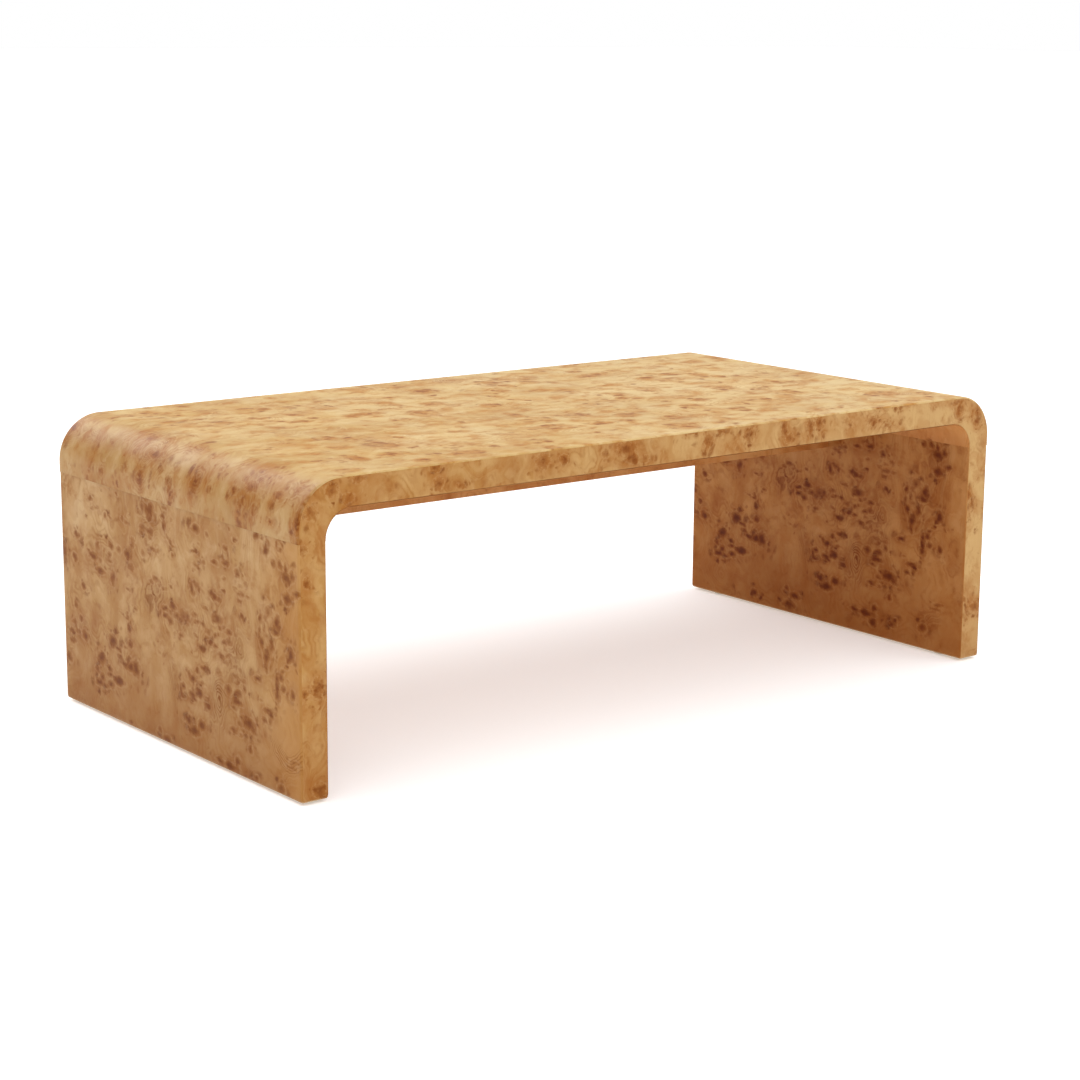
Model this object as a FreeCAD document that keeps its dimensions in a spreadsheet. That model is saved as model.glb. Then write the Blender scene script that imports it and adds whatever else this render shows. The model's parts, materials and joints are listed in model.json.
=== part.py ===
import FreeCAD
import Part
import Sketcher
import math
import os

# Waterfall coffee table: a hollow top panel, two bent corners and two hollow slab legs, all veneered,
# with a stiffening rail under the top. +Z is up, X runs along the table, the front is at -Y, and the
# origin is on the floor under the middle of the top.

SIZES = {
    # Overall form
    "table_length": 1219.0,
    "table_depth": 610.0,
    "table_height": 406.0,
    "panel_thick": 40.0,
    "corner_outer_radius": 63.0,
    "corner_inner_radius": 38.0,
    "leg_setback": 1.0,
    "foot_ease": 5.0,
    # Panel build-up
    "veneer_thick": 1.0,
    "skin_thick": 9.0,
    "frame_width": 40.0,
    "spine_width": 60.0,
    "rib_width": 20.0,
    "rib_stations": 4,
    "former_thick": 18.0,
    "former_count": 5,
    # Centre rail
    "rail_height": 78.0,
    "rail_core_thick": 20.0,
    "rail_cope_clearance": 1.0,
    # Loose tongues and dowels
    "glue_room": 1.0,
    "tongue_thick": 6.0,
    "tongue_reach_share": 0.8,
    "rail_tongue_bite": 10.0,
    "rail_tongue_margin": 4.0,
    "dowel_diameter": 8.0,
    "dowel_length": 50.0,
    "dowel_web": 5.0,
    "dowel_stations": 4,
    # Glides
    "glide_height": 3.0,
    "glide_diameter": 25.0,
    "glide_chamfer": 1.0,
    "glide_inset": 55.0,
    "nail_diameter": 2.4,
    "nail_length": 18.0,
    "nail_point": 3.0,
    "nail_seat": 1.0,
}

doc = FreeCAD.newDocument("waterfall_coffee_table")
sheet = doc.addObject("Spreadsheet::Sheet", "Sizes")
for row, (alias, size) in enumerate(SIZES.items(), start=1):
    sheet.set(f"A{row}", alias)
    sheet.set(f"B{row}", str(size))
    sheet.setAlias(f"B{row}", alias)
doc.recompute()

# Lengths that several pieces share, as expressions on the sheet
LENGTH = "Sizes.table_length"
DEPTH = "Sizes.table_depth"
HEIGHT = "Sizes.table_height"
PANEL = "Sizes.panel_thick"
VENEER = "Sizes.veneer_thick"
SKIN = "Sizes.skin_thick"
FRAME = "Sizes.frame_width"
SPINE = "Sizes.spine_width"
OUTER = "Sizes.corner_outer_radius"
INNER = "Sizes.corner_inner_radius"
SETBACK = "Sizes.leg_setback"
HALF_LENGTH = f"({LENGTH} / 2)"
HALF_DEPTH = f"({DEPTH} / 2)"
WALL = f"({VENEER} + {SKIN})"
RUN = f"({PANEL} + {INNER})"
UNDERSIDE = f"({HEIGHT} - {PANEL})"
LEG_FACE = f"({HALF_LENGTH} - {PANEL})"
TOP_REACH = f"({HALF_LENGTH} - {RUN})"
TOP_FRAME_REACH = f"({TOP_REACH} - {FRAME})"
TOP_CORE = f"({PANEL} - 2 * {WALL})"
LEG_CORE = f"({PANEL} - {SETBACK} - 2 * {WALL})"
LEG_MIDDLE = f"(({SETBACK} + {PANEL}) / 2)"
LEG_HEIGHT = f"({HEIGHT} - Sizes.glide_height - {RUN})"
CORE_DEPTH = f"({DEPTH} - 2 * {VENEER})"
FRAME_DEPTH = f"({CORE_DEPTH} - 2 * {FRAME})"
FORMER_SPAN = f"({CORE_DEPTH} - Sizes.former_thick)"

SIDES = {"left": -1, "right": 1}
X_AXIS = FreeCAD.Vector(1, 0, 0)
Y_AXIS = FreeCAD.Vector(0, 1, 0)
Z_AXIS = FreeCAD.Vector(0, 0, 1)
UPRIGHT = FreeCAD.Rotation()
# A section drawn as (distance across, distance below the top) and carried along the table's depth. Seen
# from the front, the first runs from the middle outwards and the other two run in from each end's face.
FROM_MIDDLE = FreeCAD.Rotation(X_AXIS, -Z_AXIS, Y_AXIS, "XYZ")
FROM_END = {-1: FROM_MIDDLE, 1: FreeCAD.Rotation(-X_AXIS, -Z_AXIS, -Y_AXIS, "XYZ")}
CLOCKWISE = -1
ANTICLOCKWISE = 1

parts = []


def measure(expression):
    """The present value of an expression on the sheet."""
    return float(sheet.evalExpression(expression))


def count(alias):
    return int(measure(f"Sizes.{alias}"))


def place(piece, x, y, z, rotation=UPRIGHT):
    piece.Placement = FreeCAD.Placement(FreeCAD.Vector(), rotation)
    piece.setExpression("Placement.Base.x", x)
    piece.setExpression("Placement.Base.y", y)
    piece.setExpression("Placement.Base.z", z)
    return piece


def part(piece, label):
    """Names a finished piece of the table."""
    piece.Label = label
    parts.append(piece)
    return piece


def box(length, width, height):
    block = doc.addObject("Part::Box", "Board")
    block.setExpression("Length", length)
    block.setExpression("Width", width)
    block.setExpression("Height", height)
    return block


def board(x, y, z):
    """A straight board given by (start, size) along each axis."""
    block = box(x[1], y[1], z[1])
    return place(block, x[0], y[0], z[0])


def end_place(piece, side, across="0", below="0", inward="0"):
    """Sets a piece of one end by its distances from the end's face, from the top and from its first edge."""
    x = f"{side} * ({HALF_LENGTH} - {across})"
    y = f"{side} * ({HALF_DEPTH} - {inward})"
    z = f"{HEIGHT} - {below}"
    return place(piece, x, y, z, FROM_END[side])


def end_board(side, across, below, inward):
    """A straight board of one end, given by (start, size) in the end's own directions."""
    block = box(across[1], below[1], inward[1])
    return end_place(block, side, across[0], below[0], inward[0])


def cut(piece, tool):
    result = doc.addObject("Part::Cut", "Drilled")
    result.Base = piece
    result.Tool = tool
    return result


def group(pieces, name):
    result = doc.addObject("Part::Compound", name)
    result.Links = pieces
    return result


def origin_feature(body, role):
    return next(feature for feature in body.Origin.OriginFeatures if feature.Role == role)


def arc_edge(start, end, radius, turn):
    middle = (start + end) / 2
    half = (end - start) / 2
    rise = math.sqrt(radius**2 - half.Length**2)
    aside = FreeCAD.Vector(-half.y, half.x, 0).normalize()
    centre = middle + aside * rise * turn
    first, last = (start, end) if turn == ANTICLOCKWISE else (end, start)
    angles = [math.atan2(point.y - centre.y, point.x - centre.x) for point in (first, last)]
    return Part.ArcOfCircle(Part.Circle(centre, Z_AXIS, radius), *angles)


def outline(body, corners, arcs=None, plane="XY_Plane"):
    """A closed sketch through the corners, whose edges that start at a corner named in arcs are round."""
    arcs = arcs or {}
    sketch = body.newObject("Sketcher::SketchObject", "Outline")
    sketch.AttachmentSupport = (origin_feature(body, plane), "")
    sketch.MapMode = "FlatFace"
    points = [FreeCAD.Vector(measure(x), measure(y), 0) for x, y in corners]
    ends = []
    for index, start in enumerate(points):
        end = points[(index + 1) % len(points)]
        if index in arcs:
            radius, turn = arcs[index]
            sketch.addGeometry(arc_edge(start, end, measure(radius), turn))
            ends.append((1, 2) if turn == ANTICLOCKWISE else (2, 1))
        else:
            sketch.addGeometry(Part.LineSegment(start, end))
            ends.append((1, 2))
    for index, (head, tail) in enumerate(ends):
        following = (index + 1) % len(points)
        sketch.addConstraint(Sketcher.Constraint("Coincident", index, tail, following, ends[following][0]))
        for kind, size, expression in zip(("DistanceX", "DistanceY"), points[index], corners[index]):
            rule = Sketcher.Constraint(kind, -1, 1, index, head, size)
            sketch.setExpression(f"Constraints[{sketch.addConstraint(rule)}]", expression)
    for index, (radius, turn) in arcs.items():
        rule = Sketcher.Constraint("Radius", index, measure(radius))
        sketch.setExpression(f"Constraints[{sketch.addConstraint(rule)}]", radius)
    return sketch


def new_body(name):
    return doc.addObject("PartDesign::Body", name)


def pad(body, sketch, length):
    feature = body.newObject("PartDesign::Pad", "Pad")
    feature.Profile = sketch
    feature.setExpression("Length", length)
    body.Tip = feature
    return feature


def mirror(body, feature):
    """Doubles a feature to the other side of the body's own middle plane."""
    mirrored = body.newObject("PartDesign::Mirrored", "Mirrored")
    mirrored.Originals = [feature]
    mirrored.MirrorPlane = (origin_feature(body, "YZ_Plane"), [""])
    body.Tip = mirrored
    return body


def revolve(body, sketch):
    feature = body.newObject("PartDesign::Revolution", "Revolution")
    feature.Profile = sketch
    feature.ReferenceAxis = (sketch, ["V_Axis"])
    body.Tip = feature
    return body


def sweep(corners, arcs, length):
    body = new_body("Section")
    pad(body, outline(body, corners, arcs), length)
    return body


def copies(source, places, name):
    """Links to one piece, each at its own (x, y, z)."""
    links = []
    for x, y, z in places:
        link = doc.addObject("App::Link", name)
        link.LinkedObject = source
        links.append(place(link, x, y, z))
    return links


# Loose tongues, glued into grooves with a little room past each edge

ROOM = "Sizes.glue_room"
TONGUE = "Sizes.tongue_thick"
TONGUE_REACH = f"(Sizes.tongue_reach_share * ({RUN} - {OUTER}))"


def joint_tongues(room):
    """Plywood strips across the four joints of the corners with the top and the legs."""
    reach = f"({TONGUE_REACH} + {room})"
    along = (f"-{FRAME_DEPTH} / 2", FRAME_DEPTH)
    tongues = []
    for side in SIDES.values():
        across = (f"{side} * {TOP_REACH} - {reach}", f"2 * {reach}")
        tongues.append(board(across, along, (f"{HEIGHT} - {PANEL} / 2 - {TONGUE} / 2", TONGUE)))
        upright = (f"{HEIGHT} - {RUN} - {reach}", f"2 * {reach}")
        middle = f"{side} * ({HALF_LENGTH} - {LEG_MIDDLE})"
        tongues.append(board((f"{middle} - {TONGUE} / 2", TONGUE), along, upright))
    return tongues


def rail_tongues(room):
    """Short upright strips from the ends of the centre rail into the legs, below the joint tongues."""
    reach = f"({WALL} + Sizes.rail_tongue_bite + {room})"
    lower = f"({UNDERSIDE} - Sizes.rail_height + {VENEER} + Sizes.rail_tongue_margin)"
    upper = f"({HEIGHT} - {RUN} - {TONGUE_REACH} - {ROOM} - Sizes.rail_tongue_margin)"
    tongues = []
    for side in SIDES.values():
        across = (f"{side} * {LEG_FACE} - {reach}", f"2 * {reach}")
        tongues.append(board(across, (f"-{TONGUE} / 2", TONGUE), (lower, f"{upper} - {lower}")))
    return tongues


def tongue_set(label, tongues):
    """Makes the tongues of one kind and returns the grooves for them."""
    part(group(tongues("0"), "Tongues"), label)
    return group(tongues(ROOM), "Grooves")


joint_grooves = tongue_set("joint_tongues", joint_tongues)
rail_grooves = tongue_set("rail_end_tongues", rail_tongues)


# Dowels that rise from the centre rail into the spine of the top

def dowels(room):
    stations = count("dowel_stations")
    upper = f"{HEIGHT} - {WALL} - Sizes.dowel_web - {ROOM}"
    pegs = []
    for station in range(stations):
        peg = doc.addObject("Part::Cylinder", "Peg")
        peg.setExpression("Radius", "Sizes.dowel_diameter / 2")
        peg.setExpression("Height", f"Sizes.dowel_length + 2 * {room}")
        x = f"2 * {TOP_FRAME_REACH} * ({2 * station + 1} / {2 * stations} - 1 / 2)"
        pegs.append(place(peg, x, "0", f"{upper} - Sizes.dowel_length - {room}"))
    return pegs


part(group(dowels("0"), "Dowels"), "rail_dowels")
dowel_holes = group(dowels(ROOM), "DowelHoles")


# Top panel

def build_top():
    full = (f"-{TOP_REACH}", f"2 * {TOP_REACH}")
    core_y = (f"-{CORE_DEPTH} / 2", CORE_DEPTH)
    core_z = (f"{UNDERSIDE} + {WALL}", TOP_CORE)
    part(board(full, core_y, (f"{HEIGHT} - {WALL}", SKIN)), "top_outer_skin")
    part(cut(board(full, core_y, (f"{UNDERSIDE} + {VENEER}", SKIN)), dowel_holes), "top_inner_skin")
    part(board(full, (f"-{CORE_DEPTH} / 2", FRAME), core_z), "top_front_rail")
    part(board(full, (f"{FRAME_DEPTH} / 2", FRAME), core_z), "top_rear_rail")
    for name, start in (("left", f"-{TOP_REACH}"), ("right", TOP_FRAME_REACH)):
        rail = board((start, FRAME), (f"-{FRAME_DEPTH} / 2", FRAME_DEPTH), core_z)
        part(cut(rail, joint_grooves), f"top_{name}_end_rail")
    inner = (f"-{TOP_FRAME_REACH}", f"2 * {TOP_FRAME_REACH}")
    spine = board(inner, (f"-{SPINE} / 2", SPINE), core_z)
    part(cut(spine, dowel_holes), "top_centre_spine")
    part(group(top_ribs(core_z), "Ribs"), "top_cross_ribs")
    underside = board(full, (f"-{HALF_DEPTH}", DEPTH), (UNDERSIDE, VENEER))
    part(cut(underside, dowel_holes), "top_underside_veneer")
    edge_z = (f"{UNDERSIDE} + {VENEER}", f"{PANEL} - 2 * {VENEER}")
    part(board(full, (f"-{HALF_DEPTH}", VENEER), edge_z), "top_front_edge_veneer")
    part(board(full, (f"{HALF_DEPTH} - {VENEER}", VENEER), edge_z), "top_rear_edge_veneer")


def top_ribs(core_z):
    """Short ribs from the spine to the front and rear rails."""
    stations = count("rib_stations")
    length = f"({FRAME_DEPTH} - {SPINE}) / 2"
    ribs = []
    for station in range(1, stations + 1):
        middle = f"2 * {TOP_FRAME_REACH} * ({station} / {stations + 1} - 1 / 2)"
        x = (f"{middle} - Sizes.rib_width / 2", "Sizes.rib_width")
        ribs.append(board(x, (f"-{FRAME_DEPTH} / 2", length), core_z))
        ribs.append(board(x, (f"{SPINE} / 2", length), core_z))
    return ribs


# Waterfall corners: the outer and inner curves have different centres, so the corner thickens at its bend

def bend(near, far, reach):
    """Band between two depths below the outer face, from the corner's lower joint to reach along the top."""
    corners = [
        (reach, near), (OUTER, near), (near, OUTER), (near, RUN),
        (far, RUN), (far, OUTER), (OUTER, far), (reach, far),
    ]
    arcs = {1: (f"{OUTER} - {near}", CLOCKWISE), 5: (f"{OUTER} - {far}", ANTICLOCKWISE)}
    return corners, arcs


def cove(near, far):
    """Band between two depths behind the corner's inner face."""
    first = f"({INNER} + {near})"
    second = f"({INNER} + {far})"
    corners = [
        (RUN, f"{RUN} - {first}"), (f"{RUN} - {first}", RUN),
        (f"{RUN} - {second}", RUN), (RUN, f"{RUN} - {second}"),
    ]
    return corners, {0: (first, CLOCKWISE), 2: (second, ANTICLOCKWISE)}


COVE_CORE = f"({INNER} + {WALL})"
# Where the core's flat ends, level with the ends of the outer curve, meet the inner skin
COVE_MEET = f"({RUN} - sqrt({COVE_CORE} ^ 2 - ({RUN} - {OUTER}) ^ 2))"


def former_section():
    corners = [(OUTER, WALL), (WALL, OUTER), (COVE_MEET, OUTER), (OUTER, COVE_MEET)]
    return corners, {0: (f"{OUTER} - {WALL}", CLOCKWISE), 2: (COVE_CORE, ANTICLOCKWISE)}


def top_batten_section():
    corners = [(RUN, WALL), (OUTER, WALL), (OUTER, COVE_MEET), (RUN, f"{RUN} - {COVE_CORE}")]
    return corners, {2: (COVE_CORE, ANTICLOCKWISE)}


def leg_batten_section():
    corners = [(WALL, RUN), (f"{RUN} - {COVE_CORE}", RUN), (COVE_MEET, OUTER), (WALL, OUTER)]
    return corners, {1: (COVE_CORE, ANTICLOCKWISE)}


def corner_edge_section():
    back = f"({INNER} + {VENEER})"
    corners = [
        (RUN, VENEER), (OUTER, VENEER), (VENEER, OUTER), (VENEER, RUN),
        (f"{RUN} - {back}", RUN), (RUN, f"{RUN} - {back}"),
    ]
    return corners, {1: (f"{OUTER} - {VENEER}", CLOCKWISE), 4: (back, ANTICLOCKWISE)}


def edge_starts(side, thick, inset="0"):
    """Where a piece of this thickness begins when it lies near the front and near the rear edge of an end."""
    first = inset
    last = f"({DEPTH} - {inset} - {thick})"
    return {"front": last, "rear": first} if side > 0 else {"front": first, "rear": last}


def formers(side):
    """A row of equal formers, pitched so that the outer two close the corner's ends."""
    body = new_body("Formers")
    body.AllowCompound = True
    corners, arcs = former_section()
    sketch = outline(body, corners, arcs)
    first = pad(body, sketch, "Sizes.former_thick")
    row = body.newObject("PartDesign::LinearPattern", "Row")
    row.Originals = [first]
    row.Direction = (sketch, ["N_Axis"])
    row.setExpression("Length", FORMER_SPAN)
    row.setExpression("Occurrences", "Sizes.former_count")
    body.Tip = row
    return end_place(body, side, inward=VENEER)


def build_corner(name, side):
    outer_skin = sweep(*bend(VENEER, WALL, RUN), CORE_DEPTH)
    part(end_place(outer_skin, side, inward=VENEER), f"{name}_corner_outer_skin")
    inner_skin = sweep(*cove(VENEER, WALL), CORE_DEPTH)
    part(end_place(inner_skin, side, inward=VENEER), f"{name}_corner_inner_skin")
    part(formers(side), f"{name}_corner_formers")
    for joint, section in (("top", top_batten_section), ("leg", leg_batten_section)):
        batten = end_place(sweep(*section(), CORE_DEPTH), side, inward=VENEER)
        part(cut(batten, joint_grooves), f"{name}_corner_{joint}_batten")
    part(end_place(sweep(*cove("0", VENEER), DEPTH), side), f"{name}_corner_cove_veneer")
    for edge, start in edge_starts(side, VENEER).items():
        veneer = sweep(*corner_edge_section(), VENEER)
        part(end_place(veneer, side, inward=start), f"{name}_corner_{edge}_edge_veneer")


def build_face_veneer():
    """One sheet over both corners and the top: half of it is drawn from the middle and mirrored."""
    body = new_body("FaceVeneer")
    corners, arcs = bend("0", VENEER, HALF_LENGTH)
    flipped = [(f"{HALF_LENGTH} - {across}", below) for across, below in corners]
    turned = {index: (radius, -turn) for index, (radius, turn) in arcs.items()}
    mirror(body, pad(body, outline(body, flipped, turned), DEPTH))
    part(place(body, "0", f"-{HALF_DEPTH}", HEIGHT, FROM_MIDDLE), "waterfall_face_veneer")


# Slab legs

def leg_form(side):
    """The whole leg with its foot eased all round, to which the pieces that reach the foot are shaped."""
    body = new_body("LegForm")
    block = body.newObject("PartDesign::AdditiveBox", "Block")
    block.setExpression("Length", f"{PANEL} - {SETBACK}")
    block.setExpression("Width", LEG_HEIGHT)
    block.setExpression("Height", DEPTH)
    doc.recompute()
    foot = max(vertex.Y for vertex in block.Shape.Vertexes)
    rim = [
        f"Edge{i}"
        for i, edge in enumerate(block.Shape.Edges, start=1)
        if all(math.isclose(vertex.Y, foot) for vertex in edge.Vertexes)
    ]
    ease = body.newObject("PartDesign::Fillet", "Ease")
    ease.Base = (block, rim)
    ease.setExpression("Radius", "Sizes.foot_ease")
    body.Tip = ease
    return end_place(body, side, SETBACK, RUN)


def build_leg(name, side, nails):
    form = leg_form(side)
    full = (RUN, LEG_HEIGHT)
    core_depth = (VENEER, CORE_DEPTH)
    core = (f"({SETBACK} + {WALL})", LEG_CORE)
    between_stiles = (f"({VENEER} + {FRAME})", FRAME_DEPTH)

    def eased(piece):
        shaped = doc.addObject("Part::Common", "Eased")
        shaped.Base = piece
        shaped.Tool = form
        return shaped

    outer_skin = end_board(side, (f"({SETBACK} + {VENEER})", SKIN), full, core_depth)
    part(eased(outer_skin), f"{name}_leg_outer_skin")
    inner_skin = end_board(side, (f"({PANEL} - {WALL})", SKIN), full, core_depth)
    part(cut(eased(inner_skin), rail_grooves), f"{name}_leg_inner_skin")
    for edge, start in edge_starts(side, FRAME, VENEER).items():
        part(eased(end_board(side, core, full, (start, FRAME))), f"{name}_leg_{edge}_stile")
    between_rails = (f"({RUN} + {FRAME})", f"{LEG_HEIGHT} - 2 * {FRAME}")
    middle = (f"({HALF_DEPTH} - {FRAME} / 2)", FRAME)
    part(end_board(side, core, between_rails, middle), f"{name}_leg_centre_stile")
    head = end_board(side, core, (RUN, FRAME), between_stiles)
    part(cut(cut(head, joint_grooves), rail_grooves), f"{name}_leg_head_rail")
    foot = end_board(side, core, (f"({RUN} + {LEG_HEIGHT} - {FRAME})", FRAME), between_stiles)
    part(cut(foot, nails), f"{name}_leg_foot_rail")
    part(eased(end_board(side, (SETBACK, VENEER), full, ("0", DEPTH))), f"{name}_leg_outer_veneer")
    inner_veneer = end_board(side, (f"({PANEL} - {VENEER})", VENEER), full, ("0", DEPTH))
    part(cut(eased(inner_veneer), rail_grooves), f"{name}_leg_inner_veneer")
    edge_across = (f"({SETBACK} + {VENEER})", f"{PANEL} - {SETBACK} - 2 * {VENEER}")
    for edge, start in edge_starts(side, VENEER).items():
        part(eased(end_board(side, edge_across, full, (start, VENEER))), f"{name}_leg_{edge}_edge_veneer")


# Centre rail, coped at its upper corners to clear the coves

def rail_board(drop, thick, start):
    body = new_body("Rail")
    cope = f"({INNER} + Sizes.rail_cope_clearance)"
    corners = [
        ("0", PANEL), (f"{LEG_FACE} - {cope}", PANEL), (LEG_FACE, f"{PANEL} + {cope}"),
        (LEG_FACE, f"{PANEL} + {drop}"), ("0", f"{PANEL} + {drop}"),
    ]
    mirror(body, pad(body, outline(body, corners, {1: (cope, ANTICLOCKWISE)}), thick))
    return place(body, "0", start, HEIGHT, FROM_MIDDLE)


def build_rail():
    thick = "Sizes.rail_core_thick"
    drop = "Sizes.rail_height"
    core = rail_board(f"({drop} - {VENEER})", thick, f"-{thick} / 2")
    part(cut(cut(core, rail_grooves), dowel_holes), "centre_rail_core")
    part(rail_board(drop, VENEER, f"-{thick} / 2 - {VENEER}"), "centre_rail_front_veneer")
    part(rail_board(drop, VENEER, f"{thick} / 2"), "centre_rail_rear_veneer")
    lower = board(
        (f"-{LEG_FACE}", f"2 * {LEG_FACE}"),
        (f"-{thick} / 2", thick),
        (f"{UNDERSIDE} - {drop}", VENEER),
    )
    part(lower, "centre_rail_lower_veneer")


# Nail-on glides

def glide_pad():
    """A nylon disc with a bevelled lower edge, moulded round the foot of its nail."""
    nail = "Sizes.nail_diameter / 2"
    seat = "Sizes.nail_seat"
    rim = "Sizes.glide_diameter / 2"
    bevel = "Sizes.glide_chamfer"
    top = "Sizes.glide_height"
    corners = [
        ("0", "0"), (f"{rim} - {bevel}", "0"), (rim, bevel), (rim, top),
        (nail, top), (nail, seat), ("0", seat),
    ]
    body = new_body("GlidePad")
    return revolve(body, outline(body, corners, plane="XZ_Plane"))


def glide_nail():
    shank = "Sizes.nail_diameter / 2"
    seat = "Sizes.nail_seat"
    tip = f"{seat} + Sizes.nail_length"
    corners = [("0", seat), (shank, seat), (shank, f"{tip} - Sizes.nail_point"), ("0", tip)]
    body = new_body("GlideNail")
    return revolve(body, outline(body, corners, plane="XZ_Plane"))


def build_glides():
    """Two glides under each leg, one near each edge."""
    places = []
    for side in SIDES.values():
        x = f"{side} * ({HALF_LENGTH} - {LEG_MIDDLE})"
        for edge in (-1, 1):
            places.append((x, f"{edge} * ({HALF_DEPTH} - Sizes.glide_inset)", "0"))
    part(group(copies(glide_pad(), places, "Pad"), "GlidePads"), "glide_pads")
    return part(group(copies(glide_nail(), places, "Nail"), "GlideNails"), "glide_nails")


build_top()
build_face_veneer()
glide_nails = build_glides()
for end_name, end_side in SIDES.items():
    build_corner(end_name, end_side)
    build_leg(end_name, end_side, glide_nails)
build_rail()
doc.recompute()

failed = [item.Label for item in doc.Objects if "Invalid" in item.State or "Error" in item.State]
failed += [piece.Label for piece in parts if piece.Shape.isNull() or not piece.Shape.isValid()]
if failed:
    raise RuntimeError(f"these pieces did not build: {failed}")

os.makedirs("parts", exist_ok=True)
for piece in parts:
    piece.Shape.exportStep(f"parts/{piece.Label}.step")
print(len(parts), "pieces written")
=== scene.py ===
# %% [markdown]
# A waterfall coffee table, dressed in burl veneer. The frame holds 59 CAD pieces. The hidden ones
# (frames, skins, formers, tongues, dowels) keep their shape and get a timber finish. Every veneer leaf
# that can be seen is made again here as a fine mesh, because a burl figure needs a surface that carries
# its own drawing.

# %% Load the frame
import json
import math

import bpy
import numpy as np
from mathutils import Matrix, Vector


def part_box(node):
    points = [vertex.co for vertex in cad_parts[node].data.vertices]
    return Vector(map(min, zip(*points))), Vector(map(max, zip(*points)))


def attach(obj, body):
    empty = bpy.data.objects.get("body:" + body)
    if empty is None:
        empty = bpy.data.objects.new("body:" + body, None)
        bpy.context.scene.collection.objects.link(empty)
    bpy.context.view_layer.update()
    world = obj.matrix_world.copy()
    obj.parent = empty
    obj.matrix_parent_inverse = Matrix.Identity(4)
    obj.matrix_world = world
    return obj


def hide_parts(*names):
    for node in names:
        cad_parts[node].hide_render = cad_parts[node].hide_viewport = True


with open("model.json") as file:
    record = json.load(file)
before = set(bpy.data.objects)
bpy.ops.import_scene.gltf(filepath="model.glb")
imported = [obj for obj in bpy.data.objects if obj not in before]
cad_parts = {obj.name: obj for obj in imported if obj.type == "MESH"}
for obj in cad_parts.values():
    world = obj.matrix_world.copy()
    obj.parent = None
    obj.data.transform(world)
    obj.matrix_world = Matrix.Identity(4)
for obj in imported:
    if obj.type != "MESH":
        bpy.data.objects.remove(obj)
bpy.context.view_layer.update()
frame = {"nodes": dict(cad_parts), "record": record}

# %% [markdown]
# The sizes are read from the frame, so the leaves land exactly on the skins below them. Only the two
# radii that a box can't show are written here: the corner's and the foot's, as the CAD part has them.

# %% Sizes in metres
MM = 0.001
face_low, face_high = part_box("waterfall_face_veneer")
under_low, under_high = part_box("top_underside_veneer")
leg_outer_low, leg_outer_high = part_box("right_leg_outer_veneer")
leg_inner_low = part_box("right_leg_inner_veneer")[0]
foot_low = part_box("right_leg_foot_rail")[0]

half_length = face_high.x
half_depth = face_high.y
table_height = face_high.z
joint_height = face_low.z
leg_face = leg_outer_high.x
inner_wall = leg_inner_low.x
underside = under_low.z
top_joint = under_high.x
leg_foot = foot_low.z
veneer = leg_outer_high.x - leg_outer_low.x
cove_radius = inner_wall - top_joint
corner_radius = 63 * MM
foot_radius = 5 * MM
flat_run = half_length - corner_radius
corner_arc = corner_radius * math.pi / 2
sheet_reach = flat_run + corner_arc + (table_height - corner_radius - joint_height)
print("table", half_length * 2, half_depth * 2, table_height, "veneer", round(veneer, 5))
print("cove radius", round(cove_radius, 4), "half of the rolled sheet", round(sheet_reach, 4))

# %% [markdown]
# The camera stands at the photograph's angle: to the left of the table's front, a little above it. The
# lens and place come from matching the table's straight edges and bends in the photograph, with the
# picture's centre as the lens's centre, so the camera needs no shift.

# %% Camera
scene = bpy.context.scene
PHOTO_SIDE = 1080
SENSOR_WIDTH = 36
FARTHEST_VIEW = 200
FOCAL_PIXELS = 2478.7
CAMERA_PLACE = Vector((-2.1768, -2.7643, 0.9480))
CAMERA_YAW = math.radians(38.2146)
CAMERA_PITCH = math.radians(11.8934)
CAMERA_ROLL = math.radians(0.4260)


def add_object(name, data):
    made = bpy.data.objects.new(name, data)
    scene.collection.objects.link(made)
    return made


def camera_turn(yaw, pitch, roll):
    right = Vector((math.cos(yaw), -math.sin(yaw), 0))
    forward = Vector((math.sin(yaw) * math.cos(pitch), math.cos(yaw) * math.cos(pitch), -math.sin(pitch)))
    up = right.cross(forward)
    rolled_right = right * math.cos(roll) + up * math.sin(roll)
    rolled_up = up * math.cos(roll) - right * math.sin(roll)
    return Matrix((rolled_right, rolled_up, -forward)).transposed().to_4x4()


lens = bpy.data.cameras.new("photo camera")
lens.sensor_fit = "HORIZONTAL"
lens.sensor_width = SENSOR_WIDTH
lens.lens = FOCAL_PIXELS * SENSOR_WIDTH / PHOTO_SIDE
lens.clip_end = FARTHEST_VIEW
camera = add_object("photo camera", lens)
turn = camera_turn(CAMERA_YAW, CAMERA_PITCH, CAMERA_ROLL)
camera.matrix_world = Matrix.Translation(CAMERA_PLACE) @ turn
scene.camera = camera
print("lens", round(lens.lens, 2), "mm")

# %% [markdown]
# Every tree of nodes below is written with a few small helpers: one makes a node and fills or links its
# sockets, one does arithmetic on numbers and one on vectors. They read the same for shading and for
# geometry, which keeps the long trees short. Another turns a tone as on a colour chart, from 0 to 255,
# into the linear numbers that a shader reckons with, and the last two start a finish and give it a feel.

# %% Node helpers
def node(tree, kind, sockets=None, **settings):
    made = tree.nodes.new(kind)
    for name, value in settings.items():
        setattr(made, name, value)
    for socket, value in (sockets or {}).items():
        if isinstance(value, bpy.types.NodeSocket):
            tree.links.new(value, made.inputs[socket])
        else:
            made.inputs[socket].default_value = value
    return made


def calc(tree, operation, *values, clamp=False):
    made = node(tree, "ShaderNodeMath", dict(enumerate(values)), operation=operation, use_clamp=clamp)
    return made.outputs[0]


def vector_calc(tree, operation, *values):
    place = {0: values[0], 1: values[1]} if operation != "SCALE" else {0: values[0], 3: values[1]}
    return node(tree, "ShaderNodeVectorMath", place, operation=operation).outputs[0]


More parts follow.
